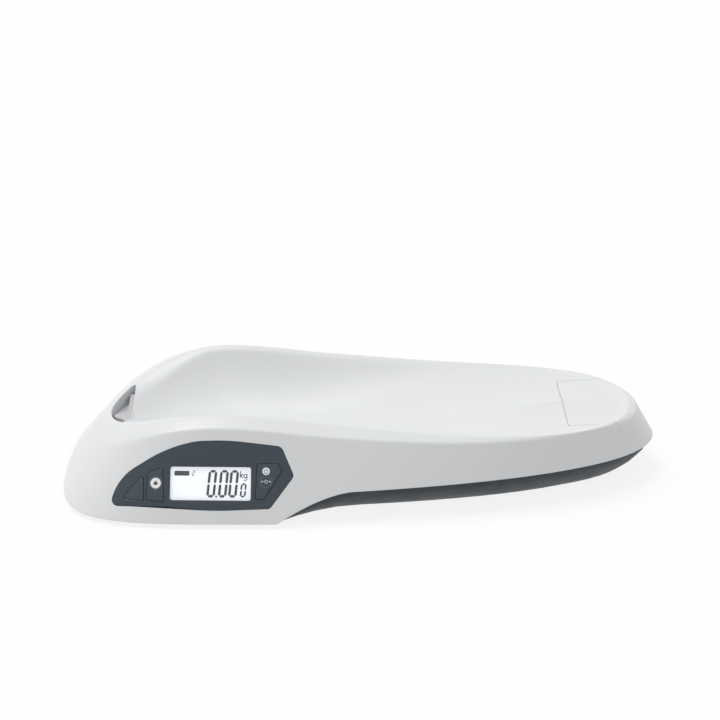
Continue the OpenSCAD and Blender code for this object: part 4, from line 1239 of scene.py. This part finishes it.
@dataclass
class PocketInsert:
    """The insert in the head pocket: a strip along the seam; its wavy edge runs out as a tongue."""

    housing: Housing
    below_lip: float = 1.5
    floor_t: float = 9.0
    strip_w: float = 6.0
    tongue_half: float = 2.0
    tongue_run: float = 14.0
    gap: float = 0.25
    bead_r: float = 0.75

    def edge(self, y: Array) -> Array:
        """X of the plate's wavy edge: the strip, eased out to the wall near the middle."""
        seam = self.housing.seam_x
        reach = seam - self.housing.form.crest_line.head_x - self.housing.pocket_wall - 2
        bulge = (reach - self.strip_w) * smooth(1 - (np.abs(y) - self.tongue_half) / self.tongue_run)
        return np.maximum(seam - self.strip_w - bulge, self.housing.pocket_side(y, self.gap + 0.1))

    def top(self, y: Array) -> Array:
        """Height of the plate at y: a little below the cradle's lip there."""
        return self.housing.form.lip(self.housing.crest_station(np.abs(y)))[..., 2] - self.below_lip

    def build(self) -> bpy.types.Object:
        """Base plate, raised plate with rolled edges, and a bead along its wavy edge.

        Returns:
            The insert.
        """
        seam, half = self.housing.seam_x, self.housing.pocket_half - 6
        loop = self.housing.pocket_loop(self.gap)
        base = prism("floor", loop, self.housing.pocket_z, self.housing.pocket_z + self.floor_t, upright)
        y = np.linspace(half, -half, 120)
        wavy = np.stack([self.edge(y), y], -1)
        t = np.linspace(-half, half, 20)
        straight = np.stack([np.full_like(t, seam - self.gap), t], -1)
        outline = np.concatenate([wavy, straight])
        centre = np.array([seam - 3.2, 0.0])
        rings = [upright(outline, np.full(len(outline), self.housing.pocket_z + 1))]
        for a in np.linspace(0, math.pi / 2, 5):
            inward = np.zeros_like(outline)
            inward[120:, 0] = -0.6 * (1 - math.cos(a))
            rings.append(upright(outline + inward, self.top(outline[:, 1]) - 0.6 + 0.6 * math.sin(a)))
        plate = self.strip(rings)
        tangent = unit(np.gradient(wavy, axis=0))
        normal = np.stack([-tangent[:, 1], tangent[:, 0]], -1)
        turn = np.linspace(0, 2 * math.pi, 13)[:-1]
        middle = upright(wavy + np.array([self.bead_r, 0]), self.top(y) - 0.1)
        side, up = upright(normal, np.zeros(len(wavy))), np.array([0, 0, 1.0])
        ring = [middle + self.bead_r * (math.cos(a) * side + math.sin(a) * up) for a in turn]
        bead = stack("bead", list(np.stack(ring, 1)), 60)
        return join("pocket_insert", [base, plate, bead])

    def strip(self, rings: list[Array]) -> bpy.types.Object:
        """Closes rings whose top is a band between the wavy and the straight edge.

        Args:
            rings: Rings of 120 wavy points and 20 straight ones.

        Returns:
            The plate.
        """
        count = len(rings[0])
        points = np.concatenate(rings)
        at, after = np.arange(count), np.roll(np.arange(count), -1)
        faces = []
        for i in range(len(rings) - 1):
            faces += (np.stack([at, after, after + count, at + count], -1) + i * count).tolist()
        last = (len(rings) - 1) * count
        flat = [Vector(p) for p in rings[-1][:, :2].tolist()]
        made = delaunay_2d_cdt(flat, list(zip(at.tolist(), after.tolist())), [], 0, 1e-7)
        for corners in made[2]:
            tri = [made[3][c][0] for c in corners]
            if inside_loop(rings[-1][tri, :2].mean(0)[None], rings[-1][:, :2])[0]:
                faces.append([t + last for t in tri])
                faces.append(tri[::-1])
        return tidy(raw_mesh("plate", points, faces))


# ---------------------------------------------------------------- console


@dataclass
class Console:
    """The display console's own directions on the front wall: u along it, v up it, and out of it."""

    centre_x: float = -155.2
    centre_z: float = 43.3
    window_w: float = 84.0
    window_h: float = 34.5
    panel_gap: float = 0.25
    key_gap: float = 0.3
    cut_span: tuple[float, float] = (-26.0, 12.0)
    board_posts: tuple = ((-83, 15), (-8, 26), (62, 26), (71, -16))
    form: Form = FORM
    origin: Array = field(init=False)
    axes: Array = field(init=False)

    def __post_init__(self) -> None:
        """Takes the axes from differences across the window, as the part's source does."""
        x, z = np.array(self.centre_x), np.array(self.centre_z)
        reach = self.window_w / 2
        along = unit(self.form.on_wall(x + reach, z) - self.form.on_wall(x - reach, z))
        rise = self.form.on_wall(x, z + reach) - self.form.on_wall(x, z - reach)
        up = unit(rise - along * (rise @ along))
        self.origin = self.form.on_wall(x, z)
        self.axes = np.stack([along, up, np.cross(along, up)])

    def plane(self, points: Array, depth: Array) -> Array:
        """Flat points lifted to a depth along the display's own axis."""
        return self.origin + points @ self.axes[:2] + depth[:, None] * self.axes[2]

    def wall(self, points: Array, offset: Array) -> Array:
        """Flat points lifted along the display's axis to the wall, then moved out along the wall's normal.

        Newton steps over station and share bring the wall's point over each flat point; the wall's two
        slopes there also give its normal.
        """
        k, q = np.full(len(points), 12.0), np.full(len(points), 0.6)
        across = self.axes[:2].T
        for _ in range(14):
            along = (self.form.front(k + 0.05, q) - self.form.front(k - 0.05, q)) / 0.1
            down = (self.form.front(k, q + 0.01) - self.form.front(k, q - 0.01)) / 0.02
            at = self.form.front(k, q)
            miss = points - (at - self.origin) @ across
            a, b = along @ across, down @ across
            area = a[:, 0] * b[:, 1] - a[:, 1] * b[:, 0]
            k = k + np.clip((miss[:, 0] * b[:, 1] - miss[:, 1] * b[:, 0]) / area, -2, 2)
            q = q + np.clip((a[:, 0] * miss[:, 1] - a[:, 1] * miss[:, 0]) / area, -0.3, 0.3)
            k, q = np.clip(k, 0.5, LAST - 0.5), np.clip(q, -0.3, 1.4)
        return at + unit(np.cross(down, along)) * offset[:, None]

    def tools(self) -> list[bpy.types.Object]:
        """Cutters of the panel's recess, of the hole behind the window and of the keys' holes."""
        edge = Sheet(self.wall, lambda grow: PANEL(grow + self.panel_gap), (), 3.0, -1.8, 6.0)
        made = [edge.build("recess_tool")]
        made.append(prism("window_tool", self.window()(2.4), *self.cut_span, self.plane))
        holes = [outline(self.key_gap) for outline in KEYS.values()]
        return made + [prism("key_tool", hole, *self.cut_span, self.plane) for hole in holes]

    def window(self) -> Outline:
        """The display window's outline."""
        w, h = self.window_w / 2, self.window_h / 2
        return rectangle(-w, -h, w, h, 2.5)

    def turned(self, name: str, profile: Array, u: float, v: float, steps: int) -> bpy.types.Object:
        """A body turned about an axis that stands on the display's plane at u and v."""
        return lathe(name, profile, lambda q: self.plane(q[:, :2] + np.array([u, v]), q[:, 2]), steps)

    def sink(self, u: float, v: float) -> float:
        """Depth of the wall below the display's plane."""
        point = self.wall(np.array([[u, v]]), np.zeros(1)) - self.origin
        return -float((point @ self.axes[2])[0])

    def posts(self) -> list[bpy.types.Object]:
        """Screw posts of the console's board, on the inside of the wall."""
        made = []
        for u, v in self.board_posts:
            top = -self.sink(u, v) - 1.8
            profile = np.array([[0, -13], [1, -13], [1, -19], [3, -19], [3, top], [0, top]], float)
            made.append(self.turned("post", profile, u, v, 24))
        return made

    def panel(self) -> bpy.types.Object:
        """The dark panel over the wall, with rolled edges round its outline, the window and the keys."""
        holes = (self.window(), *[lambda grow, o=o: o(grow + self.key_gap) for o in KEYS.values()])
        rings = ((0.0, 0.5), (0.12, 0.2), (0.38, 0.0))
        return Sheet(self.wall, PANEL, holes, -0.3, -1.7, 4.5, rings).build("console_face")

    def lens(self) -> bpy.types.Object:
        """The clear window, set back behind the panel."""
        outline = self.window()
        rings = [(-0.4, -3.7), (-0.2, -3.5), (-0.2, -2.6), (-0.4, -2.4)]
        return stack("window_lens", [self.plane(outline(g), np.full(36, d)) for g, d in rings])

    def key(self, name: str) -> bpy.types.Object:
        """A key: a cap that follows the wall, its flange under the panel and its stem.

        Args:
            name: The key's name.

        Returns:
            The key.
        """
        outline, (u, v) = KEYS[name], KEY_STEMS[name]
        rings = ((0.0, 0.45), (0.13, 0.14), (0.42, 0.0))
        cap = Sheet(self.wall, outline, (), -0.1, -4.9, 2.6, rings).build("cap")
        flange = Sheet(self.wall, lambda grow: outline(grow + 1.4), (), -4.4, -5.4, 3.5).build("flange")
        low, high = -14.8, -self.sink(u, v) - 2
        profile = np.array([[0, low], [2.1, low], [2.4, low + 0.3], [2.4, high], [0, high]])
        stem = self.turned("stem", profile, u, v, 32)
        return join(name + "_cap", [cap, flange, stem])

    def on_key(self, points: Array, depth: Array) -> Array:
        """Places a mark on a key's face, which lies 0.1 mm below the wall."""
        return self.wall(points, depth - 0.1)

    def on_glass(self, points: Array, depth: Array) -> Array:
        """Places a mark on the display's glass."""
        return self.plane(points, depth - 4.4)


PANEL = rounded(
    (
        (-105.5, -23.5, 7), (6, -28.2, 400), (62, -25.5, 6), (86.5, 8.5, 6), (73, 39, 8),
        (18, 44.8, 230), (-14, 43.8, 85), (-46, 36.5, 150), (-97.5, 5.5, 50),
    ),
    12,
)
KEYS: dict[str, Outline] = {
    "key_left": rounded(((-92.5, -15.5, 2), (-69.3, -18.6, 1.8), (-70.8, 8.8, 1.8))),
    "key_hold": rounded(((-66.3, -17.6, 2), (-48.6, -19.2, 2), (-50.2, 16.3, 2), (-65.9, 10.2, 2.5))),
    "key_zero": rounded(
        ((47.2, -16.2, 2), (56.2, -15, 2.2), (73.6, 13.4, 2.5), (70.2, 21, 2.5), (48.4, 20.6, 2))
    ),
}
KEY_STEMS = {"key_left": (-76.0, -9.0), "key_hold": (-57.5, -3.0), "key_zero": (58.0, 5.0)}


# ---------------------------------------------------------------- marks


def bar(a: tuple[float, float], b: tuple[float, float], width: float) -> Array:
    """A straight stroke with square ends."""
    p, q = np.array(a, float), np.array(b, float)
    side = unit(q - p) @ np.array([[0.0, 1.0], [-1.0, 0.0]]) * width / 2
    return np.stack([p - side, q - side, q + side, p + side])


def hexagon(a: tuple[float, float], b: tuple[float, float], half: float) -> Array:
    """A stroke from a to b with pointed ends: its long sides start half a width in from each end."""
    p, q = np.array(a, float), np.array(b, float)
    along = unit(q - p)
    side = np.array([along[1], -along[0]])
    first, second = half * (along + side), half * (along - side)
    return np.stack([p, p + first, q - second, q, q - first, p + second])


def arc_bars(
    x: float, y: float, r: float, width: float, start: float, end: float, steps: int = 24
) -> list[Array]:
    """An arc stroke as short wedges, from one angle to another in degrees."""
    a = np.radians(np.linspace(start, end, steps + 1))
    ring = np.stack([np.cos(a), np.sin(a)], -1)
    inner, outer = np.array([x, y]) + ring * (r - width / 2), np.array([x, y]) + ring * (r + width / 2)
    return [np.stack([inner[i], outer[i], outer[i + 1], inner[i + 1]]) for i in range(steps)]


@dataclass(frozen=True)
class SegmentDigit:
    """One seven-segment digit with a slant."""

    x: float
    y: float
    w: float
    h: float
    t: float
    slant: float = 0.09
    lit: str = "abcdef"

    def polygons(self) -> list[Array]:
        """Six-cornered bars of the lit segments; X moves with height by the slant."""
        w, h, t = self.w, self.h, self.t
        g = 0.09 * t
        level = {"a": h - t / 2, "g": h / 2, "d": t / 2}
        made = []
        for name in self.lit:
            if name in level:
                y = level[name]
                ends = (t / 2 + g, y), (w - t / 2 - g, y)
            else:
                x = t / 2 if name in "ef" else w - t / 2
                low, high = (t / 2 + g, h / 2 - g) if name in "ec" else (h / 2 + g, h - t / 2 - g)
                ends = (x, low), (x, high)
            flat = hexagon(*ends, t / 2)
            flat[:, 0] += self.slant * flat[:, 1]
            made.append(flat + np.array([self.x, self.y]))
        return made


@dataclass
class Marks:
    """What the display shows and what is printed on the keys."""

    console: Console

    def reading(self) -> bpy.types.Object:
        """A zero reading, its unit and small marks beside it."""
        shapes: list[Array] = []
        for x in (-4.6, 7.4, 18.0):
            shapes += SegmentDigit(x, -14.3, 9.1, 28.5, 2.7).polygons()
        shapes.append(rectangle(5.0, -14.3, 6.9, -12.4, 0.5, 3)(0))
        shapes += SegmentDigit(30.2, -13.9, 6.2, 14.6, 1.9).polygons()
        shapes += SegmentDigit(-19.8, 8.0, 3.2, 5.4, 0.7, 0.09, "abged").polygons()
        shapes.append(rectangle(-37.9, 8.0, -22.2, 13.0, 1.2, 4)(0))
        shapes += [bar((30.6, 5.9), (31.1, 13.2), 1.0), bar((31.0, 8.2), (33.4, 10.6), 0.9)]
        shapes.append(bar((31.8, 8.8), (33.4, 5.9), 0.9))
        shapes += arc_bars(36.0, 8.1, 1.7, 0.95, 0, 360) + [bar((37.75, 10.2), (37.6, 5.6), 0.9)]
        shapes += arc_bars(35.9, 5.4, 1.7, 0.85, 0, -150, 12)
        return flat_bars(shapes, 0.02, 0.06, self.console.on_glass, "reading")

    def disc(self, name: str, x: float, y: float, r: float) -> bpy.types.Object:
        """A printed disc on a key."""
        return Sheet(self.console.on_key, circle(x, y, r), (), 0.05, 0.0, 2.2).build(name)

    def ring(self, name: str, x: float, y: float, r: float, width: float) -> bpy.types.Object:
        """A printed thin ring on a key."""
        return flat_bars(arc_bars(x, y, r, width, 0, 360, 60), 0.0, 0.05, self.console.on_key, name)

    def icons(self) -> list[tuple[bpy.types.Object, str, str]]:
        """Every printed mark with its body and finish.

        Returns:
            Piece, body and finish of each.
        """
        place = self.console.on_key
        lock = arc_bars(-57.0, 1.1, 1.15, 0.55, 0, 180, 12) + [bar((-59.0, -0.4), (-55.0, -0.4), 2.8)]
        power = arc_bars(57.6, 13.1, 2.1, 0.6, 125, 415, 24) + [bar((57.6, 13.2), (57.6, 16.0), 0.6)]
        zero = arc_bars(57.7, 4.9, 1.5, 0.5, 0, 360, 20)
        for side in (-1, 1):
            x = 57.7 + side * 3.0
            zero += [bar((x + side * 2.4, 4.9), (x, 4.9), 0.45)]
            zero += [bar((x, 4.9), (x + side * 1.0, 5.8), 0.45), bar((x, 4.9), (x + side * 1.0, 4.0), 0.45)]
        tick = [bar((-57.0, -9.4), (-57.0, -6.9), 0.4)]
        zero = [z - np.array([0, 2.3]) for z in zero]
        return [
            (self.disc("lock_disc", -57.0, 0.0, 5.5), "key_hold", "print_white"),
            (flat_bars(lock, 0.05, 0.09, place, "lock_mark"), "key_hold", "icon_dark"),
            (self.ring("lock_ring", -57.0, 0.0, 6.6, 0.3), "key_hold", "print_grey"),
            (flat_bars(tick, 0.0, 0.05, place, "lock_tick"), "key_hold", "print_grey"),
            (self.disc("power_disc", 57.6, 13.3, 3.9), "key_zero", "print_white"),
            (flat_bars(power, 0.05, 0.09, place, "power_mark"), "key_zero", "icon_dark"),
            (self.ring("zero_ring", 57.7, 2.6, 6.2, 0.35), "key_zero", "print_grey"),
            (flat_bars(zero, 0.0, 0.05, place, "zero_mark"), "key_zero", "print_white"),
        ]


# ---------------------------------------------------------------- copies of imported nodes


def smooth_copy(node: str, name: str, angle: float = 30.0) -> bpy.types.Object:
    """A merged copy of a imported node's mesh that is shaded smooth below an angle.

    Args:
        node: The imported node.
        name: The new object's name.
        angle: Degrees above which an edge is sharp.

    Returns:
        The copy.
    """
    made = linked(name, frame["nodes"][node].data.copy())
    return tidy(made, 1e-6, angle, outward=False)


# ---------------------------------------------------------------- studio


@dataclass
class Studio:
    """White floor, soft light from above and a little from the left, and the photograph's camera."""

    lens: float = 90.9
    place: tuple[float, float, float] = (-0.0002, -1.858, 0.8367)
    tilt: float = 69.0
    sun_from: tuple[float, float, float] = (-0.3, 0.14, 0.9)
    sun: float = 1.64
    sun_angle: float = 40.0
    ambient: float = 0.48
    floor_plain: float = 0.82
    floor_glow: float = 0.86
    floor_half: float = 12.0

    def camera(self) -> None:
        """Adds the camera."""
        data = bpy.data.cameras.new("camera")
        data.lens, data.sensor_width = self.lens, 36.0
        made = linked("camera", data)
        made.location = self.place
        made.rotation_euler = (math.radians(self.tilt), 0, 0)
        bpy.context.scene.camera = made

    def seen(self, tree: bpy.types.NodeTree) -> bpy.types.NodeSocket:
        """Adds nodes that give 1 to rays that show the background: camera, glossy and transmission rays."""
        path = tree.nodes.new("ShaderNodeLightPath")
        result = path.outputs["Is Camera Ray"]
        for name in ("Is Glossy Ray", "Is Transmission Ray"):
            most = tree.nodes.new("ShaderNodeMath")
            most.operation = "MAXIMUM"
            tree.links.new(result, most.inputs[0])
            tree.links.new(path.outputs[name], most.inputs[1])
            result = most.outputs[0]
        return result

    def world(self) -> None:
        """White world: plain level on the object, full white to rays that show it."""
        world = bpy.data.worlds.new("studio")
        world.use_nodes = True
        tree = world.node_tree
        tree.nodes.clear()
        output = tree.nodes.new("ShaderNodeOutputWorld")
        mix = tree.nodes.new("ShaderNodeMixShader")
        tree.links.new(self.seen(tree), mix.inputs[0])
        for index, strength in ((1, self.ambient), (2, 1.0)):
            background = tree.nodes.new("ShaderNodeBackground")
            background.inputs["Color"].default_value = (1, 1, 1, 1)
            background.inputs["Strength"].default_value = strength
            tree.links.new(background.outputs[0], mix.inputs[index])
        tree.links.new(mix.outputs[0], output.inputs[0])
        bpy.context.scene.world = world

    def floor(self) -> None:
        """White floor that keeps a faint shadow."""
        h = self.floor_half
        mesh = bpy.data.meshes.new("floor")
        mesh.from_pydata([(-h, -h, 0), (h, -h, 0), (h, h, 0), (-h, h, 0)], [], [(0, 1, 2, 3)])
        made = linked("floor", mesh)
        material = bpy.data.materials.new("floor")
        material.use_nodes = True
        tree = material.node_tree
        tree.nodes.clear()
        output = tree.nodes.new("ShaderNodeOutputMaterial")
        plain, shadowed = tree.nodes.new("ShaderNodeBsdfDiffuse"), tree.nodes.new("ShaderNodeBsdfDiffuse")
        plain.inputs["Color"].default_value = (*[self.floor_plain] * 3, 1)
        shadowed.inputs["Color"].default_value = (1, 1, 1, 1)
        glow = tree.nodes.new("ShaderNodeEmission")
        glow.inputs["Strength"].default_value = 1.0
        part = tree.nodes.new("ShaderNodeMixShader")
        part.inputs[0].default_value = self.floor_glow
        tree.links.new(shadowed.outputs[0], part.inputs[1])
        tree.links.new(glow.outputs[0], part.inputs[2])
        mix = tree.nodes.new("ShaderNodeMixShader")
        tree.links.new(self.seen(tree), mix.inputs[0])
        tree.links.new(plain.outputs[0], mix.inputs[1])
        tree.links.new(part.outputs[0], mix.inputs[2])
        tree.links.new(mix.outputs[0], output.inputs[0])
        made.data.materials.append(material)

    def lamp(self) -> None:
        """A broad sun."""
        data = bpy.data.lights.new("key_light", "SUN")
        data.energy = self.sun
        data.angle = math.radians(self.sun_angle)
        made = linked("key_light", data)
        made.rotation_euler = Vector(self.sun_from).to_track_quat("Z", "Y").to_euler()

    def build(self) -> None:
        """Adds everything and sets plain colour."""
        self.camera()
        self.world()
        self.floor()
        self.lamp()
        bpy.context.scene.view_settings.view_transform = "Standard"


def main() -> None:
    """Builds every piece in order."""
    logging.basicConfig(level=logging.INFO, format="%(name)s: %(message)s")
    Studio().build()
    wardrobe = Wardrobe()
    wardrobe.dress_nodes(frame)
    console = Console()
    housing = Housing()
    shell, cover = housing.build(console)
    insert = PocketInsert(housing).build()
    pieces = [
        (shell, "housing", "housing_white", ("tray_shell",)),
        (cover, "housing", "housing_white", ("foot_end_cover",)),
        (insert, "housing", "housing_white", ("head_insert",)),
        (console.panel(), "housing", "panel_slate", ("console_panel",)),
        (console.lens(), "housing", "display_clear", ("display_lens",)),
        (smooth_copy("base_tray", "base_hull"), "housing", "base_slate", ("base_tray",)),
    ]
    pieces += [(console.key(name), name, "key_slate", (name,)) for name in KEYS]
    for piece, body, finish, nodes in pieces:
        wardrobe.put(piece, finish)
        show(piece, body, finish, *nodes)
    # The insert gets a darker grey over the white: painted shade of the head pocket.
    wardrobe.put(insert, "pocket_painted_shade_grey")
    marks = Marks(console)
    for piece, body, finish in [(marks.reading(), "housing", "segment_dark"), *marks.icons()]:
        wardrobe.put(piece, finish)
        show(piece, body, "display_white" if body == "housing" else "key_slate")


if __name__ == "__main__":
    main()
